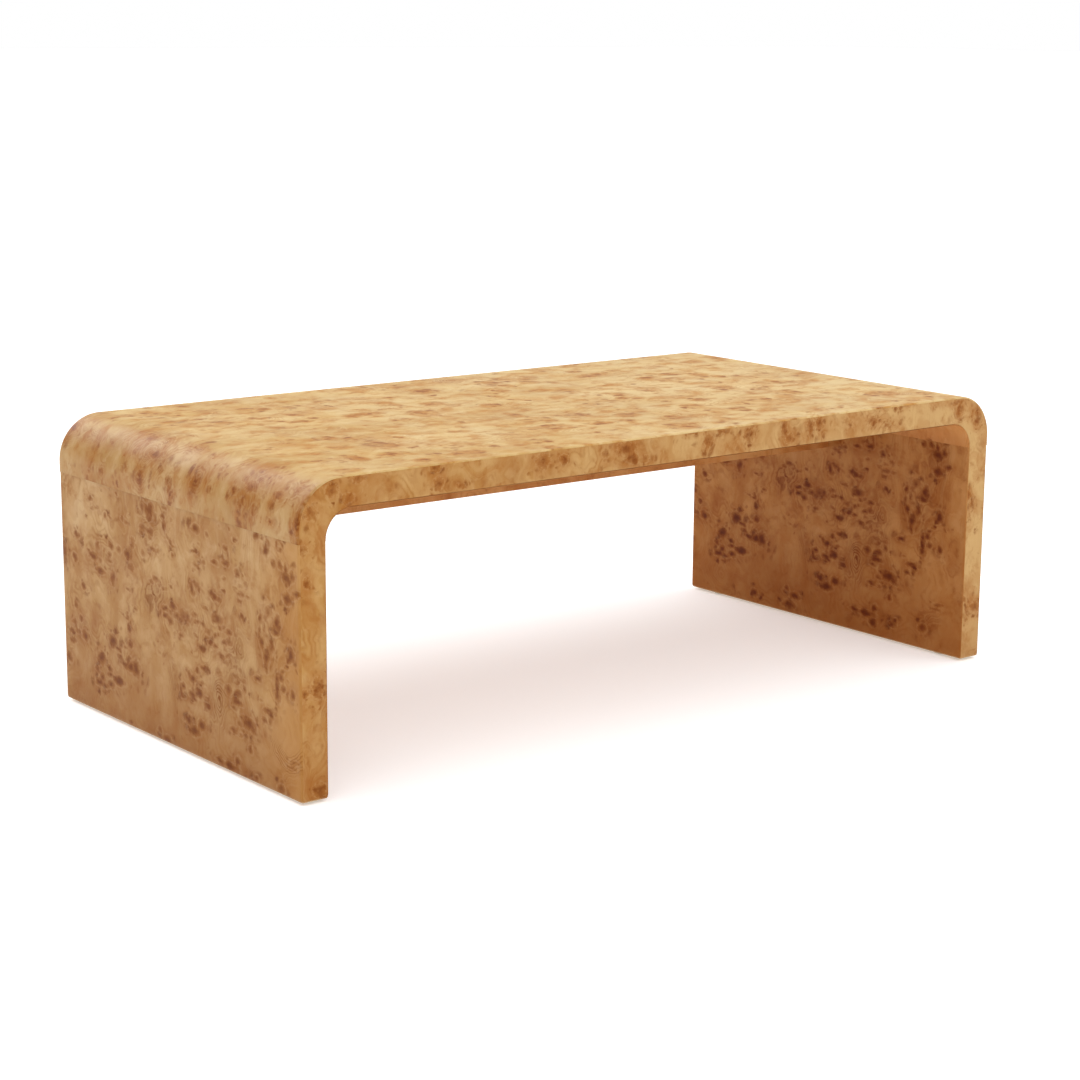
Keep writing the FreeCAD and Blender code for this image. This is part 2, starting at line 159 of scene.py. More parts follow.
def tone(red, green, blue):
    parts = np.array([red, green, blue]) / 255
    linear = np.where(parts <= 0.04045, parts / 12.92, ((parts + 0.055) / 1.055) ** 2.4)
    return (*[float(x) for x in linear], 1.0)


def new_finish(name, inputs=None):
    finish = bpy.data.materials.new(name)
    finish.use_nodes = True
    shader = finish.node_tree.nodes["Principled BSDF"]
    for word, value in (inputs or {}).items():
        shader.inputs[word].default_value = value
    return finish, finish.node_tree, shader


def add_bump(tree, shader, height, strength, distance):
    bump = node(tree, "ShaderNodeBump", {"Height": height, "Strength": strength, "Distance": distance})
    tree.links.new(bump.outputs["Normal"], shader.inputs["Normal"])


print("mid grey on the chart is", round(tone(128, 128, 128)[0], 3), "in linear light")

# %% [markdown]
# Finishes are painted in thin coats, from the bottom up. These helpers are the brushes: noise, a place
# that is stretched so that noise runs along the grain, a soft step between two values, a coat of one tone
# over what is already there, and a run of colours along a value.

# %% Brushes for the finishes
def noise(tree, place, scale, detail=2.0, roughness=0.5, output="Fac"):
    made = node(tree, "ShaderNodeTexNoise", {"Vector": place, "Scale": scale, "Detail": detail,
                                             "Roughness": roughness}, noise_dimensions="3D")
    return made.outputs[output]


def stretched(tree, place, across, along, shift=0.0):
    scaled = node(tree, "ShaderNodeMapping", {"Vector": place, "Scale": (across, along, 1.0),
                                              "Location": (shift, shift * 0.7, shift * 0.3)})
    return scaled.outputs["Vector"]


def between(tree, value, low, high, out_low=0.0, out_high=1.0):
    made = node(tree, "ShaderNodeMapRange", {"Value": value, "From Min": low, "From Max": high,
                                             "To Min": out_low, "To Max": out_high},
                interpolation_type="SMOOTHSTEP")
    return made.outputs["Result"]


def times(tree, first, *more):
    for value in more:
        first = calc(tree, "MULTIPLY", first, value)
    return first


def blend_colour(tree, amount, under, over, way="MIX"):
    made = node(tree, "ShaderNodeMix", {0: amount, 6: under, 7: over}, data_type="RGBA", blend_type=way,
                clamp_factor=True)
    return made.outputs[2]


def coat(tree, under, colour, amount, most):
    return blend_colour(tree, times(tree, amount, most), under, colour)


def colour_steps(tree, value, steps):
    ramp = node(tree, "ShaderNodeValToRGB", {"Fac": value})
    elements = ramp.color_ramp.elements
    while len(elements) < len(steps):
        elements.new(0.5)
    for element, (place, colour) in zip(elements, steps):
        element.position = place
        element.color = colour
    return ramp.outputs["Color"]


print("brushes:", [brush.__name__ for brush in (noise, stretched, between, coat, colour_steps)])

# %% [markdown]
# The studio has a plain pale floor. It glows a little, so that the table's shadow on it stays faint.

# %% Floor
FLOOR_REACH = 60
FLOOR_GREYS = (0.86, 0.88)
FLOOR_GLOW = 0.33


def greys(steps):
    return [(place, (level, level, level, 1)) for place, level in steps]


def plain_floor():
    corners = [(x * FLOOR_REACH, y * FLOOR_REACH, 0) for x, y in ((-1, -1), (1, -1), (1, 1), (-1, 1))]
    mesh = bpy.data.meshes.new("studio floor")
    mesh.from_pydata(corners, [], [(0, 1, 2, 3)])
    paint, tree, shader = new_finish("pale studio floor", {
        "Roughness": 0.9, "Specular IOR Level": 0.1, "Emission Color": (1, 1, 1, 1),
        "Emission Strength": FLOOR_GLOW})
    grain = noise(tree, node(tree, "ShaderNodeTexCoord").outputs["Object"], 3.0)
    colour = colour_steps(tree, grain, greys(enumerate(FLOOR_GREYS)))
    tree.links.new(colour, shader.inputs["Base Color"])
    mesh.materials.append(paint)
    floor = add_object("studio_floor", mesh)
    return floor


print("floor", [round(side, 1) for side in plain_floor().dimensions])

# %% [markdown]
# A wide sun gives the same light everywhere on the floor, so it stays evenly white to the horizon. The
# world is white at the horizon and dimmer above it, as a studio with pale walls is. A soft bright panel
# behind the table, painted into the world, is what the lacquer shows as a highlight along the roll.

# %% Light
SUN_FROM = (-0.02, -0.12, 1.0)
SUN_STRENGTH = 1.7
SUN_SPREAD = 90
WORLD_LEVELS = [(0.0, 1.0), (0.03, 1.0), (0.09, 0.35), (0.24, 0.35), (0.46, 0.76)]
BACK_PANEL = (-0.09, 0.85, 0.515)
BACK_PANEL_RIM = (0.93, 0.995)
BACK_GLOW = 3.9


def soft_sun(name, comes_from, strength, spread):
    light = bpy.data.lights.new(name, "SUN")
    light.energy = strength
    light.angle = math.radians(spread)
    lamp = add_object(name, light)
    lamp.rotation_euler = Vector(comes_from).to_track_quat("Z", "Y").to_euler()


def studio_world():
    world = bpy.data.worlds.new("white studio")
    world.use_nodes = True
    tree = world.node_tree
    way = node(tree, "ShaderNodeTexCoord").outputs["Generated"]
    height = node(tree, "ShaderNodeSeparateXYZ", {"Vector": way}).outputs["Z"]
    walls = colour_steps(tree, height, greys(WORLD_LEVELS))
    facing = node(tree, "ShaderNodeVectorMath", {0: way, 1: BACK_PANEL}, operation="DOT_PRODUCT")
    glow = between(tree, facing.outputs["Value"], *BACK_PANEL_RIM, 0.0, BACK_GLOW)
    background = tree.nodes["Background"]
    tree.links.new(calc(tree, "ADD", walls, glow), background.inputs["Strength"])
    background.inputs["Color"].default_value = (1, 1, 1, 1)
    return world


soft_sun("overhead light", SUN_FROM, SUN_STRENGTH, SUN_SPREAD)
scene.world = studio_world()
scene.view_settings.view_transform = "Standard"
scene.view_settings.look = "None"

# %% [markdown]
# Burl wood is drawn by its buds. Where many buds sat close together the veneer shows a cluster of small
# dark eyes, beside a cluster there is often a brown stain, and the grain lines bend around both. So each
# leaf is described the way a veneer matcher would note it: where its single eyes, its clusters of small
# eyes and its stains lie, how big they are and how strong. The notes are given in millimetres:
# place across, place along, half width, half height, strength, and where a mark leans, its turn in
# degrees. The outside of the left leg and the inside of the right leg show the same figure on the real
# table, a little slipped, because they are neighbouring leaves of one flitch.

# %% Eyes and stains of the leg leaf (across is front to back, along is the height)
LEG_EYES = [
    (267, 254, 5, 3, 0.5), (261, 247, 8, 5, 0.8), (268, 213, 7, 5, 0.9), (300, 216, 8, 14, 0.8),
    (244, 176, 8, 4, 0.8), (269, 145, 6, 4, 0.7), (255, 128, 5, 4, 0.8), (275, 120, 7, 4, 0.7),
    (243, 106, 9, 6, 0.9), (264, 109, 8, 4, 0.6), (283, 105, 9, 4, 0.8), (272, 113, 5, 3, 0.5),
    (281, 92, 10, 4, 0.7), (287, 79, 6, 3, 0.4), (294, 66, 8, 8, 0.8), (302, 58, 5, 4, 0.8),
    (216, 304, 7, 3, 0.7), (215, 291, 7, 3, 0.6), (203, 292, 6, 3, 0.6), (233, 278, 5, 3, 0.4),
    (178, 287, 5, 3, 0.7), (164, 286, 5, 3, 0.6), (144, 321, 4, 3, 0.7), (130, 290, 6, 3, 0.6),
    (118, 286, 8, 3, 0.5), (113, 297, 5, 3, 0.4), (293, 311, 5, 3, 0.5), (202, 241, 7, 6, 0.7),
    (215, 224, 10, 5, 1.0), (229, 229, 7, 3, 0.6), (193, 221, 6, 4, 0.6), (183, 238, 5, 4, 0.6),
    (167, 235, 5, 4, 0.7), (171, 225, 10, 3, 0.8), (163, 246, 9, 5, 0.8), (195, 207, 13, 4, 0.9),
    (160, 203, 6, 10, 0.8), (117, 243, 9, 6, 1.0), (143, 245, 7, 5, 0.6), (110, 227, 9, 5, 0.6),
    (105, 257, 8, 3, 0.6), (104, 265, 8, 4, 0.5), (119, 195, 7, 3, 0.7), (101, 171, 6, 3, 0.7),
    (124, 161, 5, 3, 0.6), (123, 155, 6, 3, 0.7), (138, 158, 8, 3, 0.5), (120, 140, 5, 5, 0.8),
    (118, 119, 8, 5, 0.8), (131, 112, 6, 3, 0.6), (165, 114, 10, 8, 1.0), (151, 106, 9, 3, 0.9),
    (172, 120, 6, 3, 0.6), (145, 96, 9, 3, 0.8), (134, 88, 10, 4, 0.9), (117, 87, 12, 6, 1.0),
    (103, 88, 10, 10, 0.9), (119, 101, 5, 3, 0.5), (199, 83, 11, 8, 1.0), (212, 66, 6, 4, 0.8),
    (176, 73, 8, 4, 0.9), (174, 64, 9, 3, 0.8), (150, 61, 14, 6, 1.0), (198, 56, 8, 5, 0.9),
    (174, 51, 8, 5, 1.0), (207, 47, 9, 5, 1.0), (186, 46, 8, 3, 0.8), (192, 37, 8, 3, 0.7),
    (75, 317, 7, 6, 0.7), (63, 312, 9, 7, 0.8), (52, 315, 7, 8, 0.8), (57, 303, 8, 5, 0.7),
    (84, 306, 6, 5, 0.5), (41, 306, 5, 6, 0.5), (75, 287, 9, 4, 0.7), (79, 280, 8, 3, 0.6),
    (55, 284, 7, 6, 0.7), (55, 276, 6, 3, 0.6), (67, 268, 5, 5, 0.5), (48, 262, 9, 3, 0.7),
    (57, 254, 6, 3, 0.6), (35, 262, 6, 4, 0.5), (77, 253, 6, 5, 0.6), (19, 297, 5, 8, 0.9),
    (22, 311, 7, 3, 0.8), (16, 322, 6, 3, 0.7), (10, 285, 4, 5, 0.6), (3, 280, 5, 3, 0.6),
    (-5, 275, 7, 3, 0.6), (-2, 262, 5, 3, 0.7), (-1, 310, 4, 3, 0.6), (-62, 308, 9, 5, 1.0),
    (-90, 305, 4, 3, 0.7), (-69, 290, 4, 3, 0.5), (-56, 285, 5, 3, 0.5), (-58, 278, 7, 3, 0.8),
    (-62, 260, 10, 4, 0.6), (-81, 267, 4, 3, 0.7), (-55, 253, 5, 3, 0.5), (-50, 228, 5, 8, 0.9),
    (-60, 235, 8, 4, 0.7), (-68, 230, 4, 5, 0.7), (-58, 222, 6, 3, 0.6), (-97, 231, 5, 4, 0.9),
    (-81, 208, 9, 3, 0.6), (42, 223, 9, 4, 0.8), (55, 218, 8, 3, 0.6), (20, 214, 9, 3, 0.5),
    (5, 220, 6, 3, 0.5), (20, 188, 8, 3, 0.9), (20, 178, 7, 4, 1.0), (6, 173, 6, 5, 0.9),
    (0, 194, 9, 4, 0.9), (-9, 183, 8, 5, 0.7), (-24, 187, 8, 8, 0.6), (-37, 186, 7, 9, 0.7),
    (8, 185, 6, 3, 0.5), (-5, 159, 5, 3, 0.5), (-19, 160, 5, 3, 0.8), (-28, 168, 7, 5, 0.4),
    (-57, 194, 8, 4, 0.7), (-60, 185, 6, 3, 0.8), (-76, 186, 7, 4, 0.9), (-87, 178, 9, 4, 0.6),
    (-57, 167, 6, 3, 0.6), (-93, 165, 6, 3, 0.9), (-71, 153, 9, 4, 1.0), (-47, 143, 4, 3, 0.6),
    (30, 138, 8, 5, 0.4), (38, 124, 6, 4, 0.4), (27, 124, 5, 5, 0.5), (-60, 120, 6, 4, 0.8),
    (-75, 127, 6, 3, 0.9), (-87, 126, 6, 5, 0.8), (-47, 107, 8, 5, 1.0), (-38, 112, 6, 4, 0.6),
    (-71, 106, 10, 4, 0.6), (-30, 116, 4, 3, 0.6), (-22, 93, 6, 4, 0.9), (-17, 85, 4, 7, 0.8),
    (-22, 78, 7, 3, 0.9), (-63, 90, 10, 6, 1.0), (-45, 86, 9, 4, 0.9), (-50, 79, 7, 3, 1.0),
    (-82, 88, 6, 3, 0.8), (-81, 78, 8, 3, 0.8), (-79, 72, 6, 3, 0.6), (-34, 49, 9, 6, 1.0),
    (-68, 49, 9, 6, 1.0), (-48, 37, 14, 6, 1.0), (42, 18, 6, 4, 0.8), (-121, 322, 5, 3, 0.4),
    (-145, 322, 4, 3, 0.6), (-158, 310, 6, 3, 0.9), (-136, 295, 6, 4, 0.7), (-128, 285, 3, 7, 0.5),
    (-142, 286, 3, 7, 0.5), (-135, 276, 8, 4, 1.0), (-162, 268, 7, 5, 0.8), (-107, 272, 9, 3, 0.9),
    (-130, 255, 5, 3, 0.5), (-128, 239, 6, 3, 0.8), (-156, 248, 6, 3, 0.6), (-165, 242, 8, 3, 0.6),
    (-167, 234, 5, 3, 0.7), (-175, 243, 7, 3, 0.6), (-186, 241, 6, 3, 0.6), (-182, 257, 6, 3, 0.6),
    (-170, 253, 7, 3, 0.5), (-173, 214, 5, 4, 0.9), (-187, 210, 5, 3, 0.5), (-110, 226, 12, 4, 0.8),
    (-112, 200, 12, 8, 0.8), (-105, 195, 6, 4, 0.8), (-119, 187, 5, 3, 0.7), (-107, 177, 5, 4, 0.8),
    (-129, 172, 6, 4, 0.7), (-140, 187, 9, 4, 0.7), (-141, 175, 7, 4, 0.7), (-107, 162, 6, 3, 0.8),
    (-120, 153, 8, 4, 0.8), (-130, 163, 6, 3, 0.5), (-137, 156, 7, 4, 0.5), (-158, 126, 8, 3, 0.5),
    (-172, 131, 8, 3, 0.6), (-176, 122, 4, 6, 0.6), (-165, 143, 5, 4, 0.4), (-207, 142, 7, 4, 1.0),
    (-216, 221, 4, 7, 0.8), (-224, 211, 4, 6, 0.8), (-218, 190, 5, 8, 0.9), (-228, 172, 6, 10, 1.0),
    (-228, 160, 4, 7, 0.7), (-241, 190, 6, 9, 0.7), (-235, 232, 8, 8, 0.6), (-254, 222, 7, 9, 0.9),
    (-250, 210, 8, 5, 1.0), (-213, 203, 4, 6, 0.6), (-230, 200, 5, 6, 0.5), (-233, 183, 5, 6, 0.6),
    (-284, 188, 7, 8, 1.0), (-280, 180, 6, 4, 0.9), (-275, 171, 5, 3, 0.9), (-265, 163, 5, 4, 0.6),
    (-262, 155, 5, 5, 0.8), (-253, 152, 4, 7, 0.9), (-251, 138, 4, 12, 1.0), (-254, 130, 6, 8, 0.7),
    (-267, 142, 5, 5, 0.7), (-287, 137, 5, 7, 0.9), (-278, 153, 4, 3, 0.5), (-230, 105, 9, 4, 0.9),
    (-237, 101, 6, 5, 1.0), (-222, 92, 7, 4, 0.9), (-236, 93, 5, 6, 0.7), (-213, 115, 6, 3, 0.5),
    (-135, 112, 8, 6, 0.8), (-160, 112, 9, 5, 0.8), (-157, 100, 14, 4, 0.9), (-150, 92, 10, 4, 0.7),
    (-182, 78, 14, 7, 1.0), (-167, 82, 8, 3, 0.7), (-196, 74, 6, 6, 0.8), (-147, 62, 8, 4, 0.9),
    (-165, 58, 7, 3, 0.6), (-163, 73, 7, 3, 0.6), (-187, 45, 6, 5, 0.7), (-157, 23, 6, 5, 0.9),
    (-113, 13, 10, 3, 0.9), (-138, 11, 18, 4, 1.0), (-200, 11, 6, 4, 0.9), (-290, 52, 12, 3, 0.6),
    (-284, 45, 14, 3, 0.5), (-209, 323, 6, 4, 0.9), (-222, 324, 5, 4, 0.8), (-231, 309, 7, 8, 1.0),
    (-237, 318, 5, 6, 0.6), (-247, 296, 5, 6, 0.7), (-263, 296, 5, 6, 0.8), (-262, 327, 6, 3, 0.7),
    (-255, 321, 3, 5, 0.7), (-269, 321, 3, 5, 0.7), (-262, 315, 5, 3, 0.8), (-275, 294, 4, 7, 0.8),
    (-277, 282, 8, 7, 1.0), (-290, 287, 5, 7, 0.8), (-277, 274, 5, 4, 0.7), (-298, 266, 7, 4, 0.8),
    (-277, 257, 8, 7, 0.9), (-290, 260, 5, 4, 0.5), (22, 8, 12, 5, 0.9), (117, -4, 8, 6, 0.9),
    (35, -8, 14, 6, 0.8), (-153, -1, 9, 6, 0.9), (-195, 4, 8, 5, 0.8), (-258, 10, 8, 7, 0.7),
]
LEG_STAINS = [
    (50, 196, 25, 22, 0.96), (-22, 184, 34, 18, 0.48), (-155, 158, 22, 38, 0.72, 20),
    (-112, 88, 17, 36, 1.00), (-180, 78, 25, 16, 0.96, -10), (4, 95, 9, 27, 0.60, -10),
    (40, 13, 29, 9, 1.00), (-150, 12, 52, 9, 0.96), (-262, 22, 29, 16, 1.00),
    (-150, 98, 20, 9, 0.72), (108, 90, 22, 13, 0.60, 10), (62, 300, 29, 27, 0.48),
    (20, 306, 11, 25, 0.54), (-236, 205, 29, 40, 0.30), (-272, 280, 27, 34, 0.48),
    (160, 203, 10, 16, 0.36, 10), (300, 215, 13, 20, 0.66), (-110, 222, 16, 16, 0.54),
    (262, 108, 40, 16, 0.42), (190, 62, 45, 29, 0.30), (-165, 128, 18, 13, 0.48),
    (190, 225, 45, 18, 0.26), (-50, 42, 34, 13, 0.30), (240, 14, 67, 13, 0.42),
]

# %% Eyes, clusters and stains of the waterfall sheet (along is the unrolled length)
ROLL_EYES = [
    (-57, -620, 9, 11, 1.0), (-95, -624, 6, 4, 0.8), (-1, -644, 7, 7, 0.9), (11, -628, 6, 6, 0.7),
    (79, -636, 9, 9, 0.9), (33, -618, 9, 5, 0.6), (-149, -616, 8, 5, 0.9), (-185, -606, 14, 6, 0.8),
    (-195, -594, 12, 3, 0.6), (-245, -608, 8, 6, 0.9), (-243, -642, 6, 4, 0.9), (-99, -594, 5, 4, 0.8),
    (-161, -598, 7, 4, 0.7), (-301, -634, 6, 14, 1.0), (-281, -594, 8, 5, 0.6), (185, -642, 6, 7, 0.7),
    (97, -576, 14, 5, 0.8), (61, -600, 16, 4, 0.9), (297, -594, 8, 9, 0.9), (113, -604, 7, 5, 0.7),
    (-57, -576, 6, 3, 0.6), (-177, -580, 7, 4, 0.6), (-223, -584, 7, 4, 0.6), (-173, -630, 6, 7, 0.7),
    (-203, -634, 5, 8, 0.7), (-219, -612, 5, 5, 0.6), (218, -648, 5, 3, 0.7), (40, -640, 5, 5, 0.6),
    (128, -632, 5, 6, 0.5), (150, -590, 9, 3, 0.5), (57, -544, 14, 3, 0.6), (-1, -572, 14, 3, 0.6),
]
SHEET_CLUSTERS = [
    (209, -478, 12, 14, 0.9), (166, -478, 9, 22, 0.8), (193, -352, 16, 16, 0.9),
    (125, -399, 14, 18, 0.9), (125, -338, 16, 14, 0.8), (141, -273, 12, 20, 0.9),
    (272, -284, 14, 10, 0.8), (130, -175, 26, 14, 0.9), (201, -65, 28, 24, 0.9),
    (212, 71, 20, 18, 1.0), (174, 71, 22, 14, 0.8), (138, 33, 16, 14, 1.0),
    (106, 76, 16, 14, 0.8), (234, 246, 14, 14, 0.8), (185, 240, 16, 34, 0.9),
    (207, 306, 10, 20, 0.8), (212, 475, 16, 22, 0.9), (168, 464, 8, 24, 0.8),
    (114, 295, 14, 26, 0.9), (125, 360, 18, 26, 0.9), (92, 382, 22, 14, 1.0),
    (65, 399, 18, 12, 1.0), (87, 202, 12, 24, 0.8), (21, 218, 24, 20, 0.9),
    (10, 153, 18, 18, 0.8), (-33, 322, 18, 22, 1.0), (-33, 147, 14, 18, 0.9),
    (-66, 202, 14, 14, 0.8), (-99, 213, 20, 16, 0.9), (-143, 164, 24, 20, 0.9),
    (-203, 202, 20, 16, 0.8), (-77, 360, 12, 12, 0.8), (-170, -109, 22, 30, 1.0),
    (-181, -38, 12, 24, 0.9), (-148, 38, 20, 20, 0.9), (-105, -16, 18, 16, 0.8),
    (-55, -93, 26, 10, 0.8), (32, -65, 20, 16, 1.0), (29, -186, 30, 26, 0.9),
    (5, -246, 10, 18, 0.8), (43, -136, 12, 12, 0.8), (92, -126, 20, 22, 0.8),
    (70, -257, 16, 36, 1.0), (-154, -382, 26, 24, 1.0), (-214, -464, 26, 14, 1.0),
    (-219, -410, 18, 24, 0.9), (-274, -404, 14, 16, 1.0), (-279, -524, 16, 14, 1.0),
    (-263, -328, 16, 30, 1.0), (-66, -410, 18, 14, 0.9), (43, -420, 14, 14, 0.8),
    (70, -371, 10, 20, 0.8), (-257, -232, 10, 16, 0.9), (-115, -328, 12, 10, 0.9),
    (-126, -235, 12, 22, 0.7), (-208, 480, 26, 26, 0.9), (-263, 420, 16, 22, 0.9),
    (180, 590, 24, 20, 0.9), (30, 610, 30, 22, 0.9),
    (-120, 600, 20, 26, 0.9), (-240, 620, 24, 16, 0.9), (100, 560, 16, 14, 0.8),
]
SHEET_STAINS = [
    (212, -420, 34, 20, 0.80), (272, -371, 26, 34, 0.60), (168, -180, 34, 18, 0.70),
    (201, -65, 26, 26, 0.50), (267, 27, 28, 36, 0.80), (267, 82, 20, 16, 0.60),
    (229, 153, 20, 24, 0.60), (218, 535, 24, 16, 0.70), (-66, -131, 26, 26, 0.50),
    (0, -186, 12, 28, 0.50), (-17, -360, 26, 18, 0.50), (-66, -486, 14, 30, 0.50),
    (-208, 93, 26, 34, 0.60), (-263, 49, 26, 20, 0.70), (-55, 453, 16, 34, 0.50),
    (185, 240, 14, 30, 0.50), (-214, -464, 24, 14, 0.60), (-230, 505, 24, 18, 0.50),
    (97, -576, 41, 22, 1.00), (61, -600, 31, 14, 1.00), (79, -636, 14, 22, 1.00),
    (-57, -620, 14, 24, 0.94), (-1, -644, 12, 17, 0.94), (-201, -632, 12, 24, 0.81),
    (-173, -628, 17, 17, 0.74), (-301, -634, 11, 36, 1.00), (-281, -594, 29, 17, 0.68),
    (297, -594, 14, 26, 1.00), (-1, -572, 36, 12, 0.68), (57, -544, 29, 7, 0.81),
    (185, -640, 10, 24, 0.68), (-195, -596, 29, 12, 0.68), (240, -600, 72, 12, 0.47),
    (-30, 600, 40, 24, 0.60), (110, 620, 22, 20, 0.50), (80, 320, 14, 34, 0.40),
]

# %% Eyes and stains of the edge strips (across is left to right, along is the height)
EDGE_EYES = [
    (-407, 401, 8, 5, 0.9), (-402, 380, 6, 8, 0.9), (-367, 373, 6, 3, 0.9),
    (-520, 400, 8, 5, 0.7), (-537, 378, 8, 5, 0.8), (-237, 391, 9, 8, 0.9),
    (-202, 390, 6, 5, 1.0), (-132, 391, 5, 6, 0.9), (-97, 394, 12, 7, 1.0),
    (-87, 381, 12, 6, 1.0, -20), (-63, 376, 6, 4, 0.9), (20, 404, 8, 3, 0.9),
    (48, 390, 8, 8, 0.8), (72, 400, 7, 3, 0.9), (123, 391, 10, 8, 0.9),
    (190, 392, 5, 11, 0.9), (200, 378, 7, 6, 0.8), (240, 392, 5, 10, 0.9),
    (257, 394, 7, 8, 0.9), (310, 390, 12, 5, 0.5), (363, 388, 12, 6, 0.7),
    (393, 379, 15, 7, 0.6), (420, 403, 8, 3, 0.8), (540, 399, 10, 4, 0.9),
    (543, 384, 4, 8, 0.9), (587, 371, 8, 10, 0.9), (-604, 320, 6, 6, 0.9),
    (-597, 280, 5, 6, 0.9), (-583, 147, 8, 11, 0.9), (-603, 142, 4, 4, 1.0),
    (-583, 17, 8, 8, 0.9), (573, 257, 4, 7, 0.9), (582, 240, 5, 8, 0.9),
    (576, 220, 4, 7, 0.8), (596, 82, 8, 8, 0.9), (577, 65, 4, 4, 0.9),
    (573, 97, 4, 4, 0.8), (-560, 390, 8, 7, 0.8), (-590, 365, 8, 8, 0.8),
]
EDGE_STAINS = [
    (-385, 376, 14, 8, 0.5, 30), (190, 385, 8, 18, 0.6), (212, 392, 10, 12, 0.4),
    (240, 388, 8, 18, 0.8), (262, 380, 10, 14, 0.5), (-97, 386, 16, 14, 0.5),
    (48, 390, 11, 11, 0.5), (532, 378, 14, 6, 0.5, 30), (587, 372, 10, 12, 0.4),
    (-590, 22, 16, 16, 0.6), (-600, 62, 8, 22, 0.5), (-574, 118, 6, 14, 0.5),
    (592, 325, 6, 8, 0.4), (598, 12, 10, 6, 0.5), (-330, 378, 40, 8, 0.3),
]
print("eyes noted on a leg, the roll, an edge:", len(LEG_EYES), len(ROLL_EYES), len(EDGE_EYES))

# %% [markdown]
# The notes become four soft numbers on every point of a leaf: how deep in a single eye it lies (bud), how
# thick small eyes sit around it (burl), how brown the wood is (smoke) and how far the grain lines are
# pushed aside (rise). Every outline wanders by about a millimetre, so that no eye is a plain oval. A kind
# of note has a fall-off, which is steeper for a higher number, and a size in millimetres that pushes the
# grain by one. The numbers are stored on the mesh as attributes, so the shader only has to draw the fine
# detail, and the large figure stays on the surface from any side.

# %% From notes to attributes
FIGURE = ("bud", "burl", "smoke", "rise")
FALL_OFF_AND_PUSH = {"bud": (1.0, 120), "burl": (1.6, 60), "smoke": (1.3, 90)}
PUSH_SPREAD = 3
EYE_CROWD = 0.8
CROWD_SPREAD = 8


def spot_reach(across, along, spot):
    place_across, place_along, wide, tall = spot[:4]
    angle = math.radians(spot[5]) if len(spot) > 5 else 0.0
    step_across = across - place_across * MM
    step_along = along - place_along * MM
    first = (step_across * math.cos(angle) + step_along * math.sin(angle)) / (wide * MM)
    second = (step_along * math.cos(angle) - step_across * math.sin(angle)) / (tall * MM)
    return first * first + second * second


def wander(across, along):
    first = np.sin(along / (3.7 * MM) + 2.2 * np.sin(across / (5.9 * MM)))
    second = np.sin(across / (4.1 * MM) - 2.0 * np.sin(along / (5.1 * MM)))
    third = np.sin((across + along) / (1.9 * MM))
    return across + (1.1 * first + 0.5 * third) * MM, along + (1.0 * second - 0.5 * third) * MM


def leaf_numbers(across, along, eyes, stains, clusters):
    numbers = {name: np.zeros_like(across) for name in FIGURE}
    bent_across, bent_along = wander(across, along)
    for name, spots in (("bud", eyes), ("burl", clusters), ("smoke", stains)):
        fall_off, push = FALL_OFF_AND_PUSH[name]
        for spot in spots:
            wide, tall, strength = spot[2:5]
            reach = spot_reach(bent_across, bent_along, spot)
            numbers[name] = np.maximum(numbers[name], strength * np.exp(-(reach ** fall_off)))
            numbers["rise"] += (wide + tall) / push * np.exp(-reach / PUSH_SPREAD)
            if name == "bud":
                crowd = EYE_CROWD * strength * np.exp(-reach / CROWD_SPREAD)
                numbers["burl"] = np.maximum(numbers["burl"], crowd)
    return numbers


def draw_figure(piece, across, along, eyes, stains, clusters=()):
    mesh = piece.data
    old = mesh.attributes.get("leaf")
    if old:
        mesh.attributes.remove(old)
    layer = mesh.attributes.new("leaf", "FLOAT_VECTOR", "POINT")
    flat = np.stack([across, along, np.zeros_like(across)], axis=1)
    layer.data.foreach_set("vector", flat.astype(np.float32).ravel())
    for name, values in leaf_numbers(across, along, eyes, stains, clusters).items():
        layer = mesh.attributes.new(name, "FLOAT", "POINT")
        layer.data.foreach_set("value", values.astype(np.float32))


print("numbers kept on every point:", FIGURE)

# %% [markdown]
# Each coat of the burl finish is one small function, and every coat starts from the same place on the
# leaf. The leaf coordinate is pushed about by slow and quick noise, so nothing stays straight, as in wood
# that grew round thousands of buds. Each kind of push has a scale, a detail and a reach in metres.

# %% The place on the leaf
SLOW_AND_QUICK = ((10, 2, 0.040), (60, 3, 0.012))


def leaf_place(tree, seed):
    at = {}
    for name in FIGURE:
        at[name] = node(tree, "ShaderNodeAttribute", attribute_name=name).outputs["Fac"]
    flat = node(tree, "ShaderNodeAttribute", attribute_name="leaf").outputs["Vector"]
    parts = node(tree, "ShaderNodeSeparateXYZ", {"Vector": flat}).outputs
    at["across"], at["along"] = parts["X"], parts["Y"]
    moved = node(tree, "ShaderNodeMapping", {"Vector": flat, "Location": (0, 0, seed)})
    at["leaf"] = moved.outputs["Vector"]
    pushed = at["leaf"]
    for scale, detail, reach in SLOW_AND_QUICK:
        push = noise(tree, at["leaf"], scale, detail, output="Color")
        push = vector_calc(tree, "SUBTRACT", push, (0.5, 0.5, 0.5))
        pushed = vector_calc(tree, "ADD", pushed, vector_calc(tree, "SCALE", push, reach))
    at["pushed"] = pushed
    return at


print("pushes in mm:", [round(reach / MM) for scale, detail, reach in SLOW_AND_QUICK])
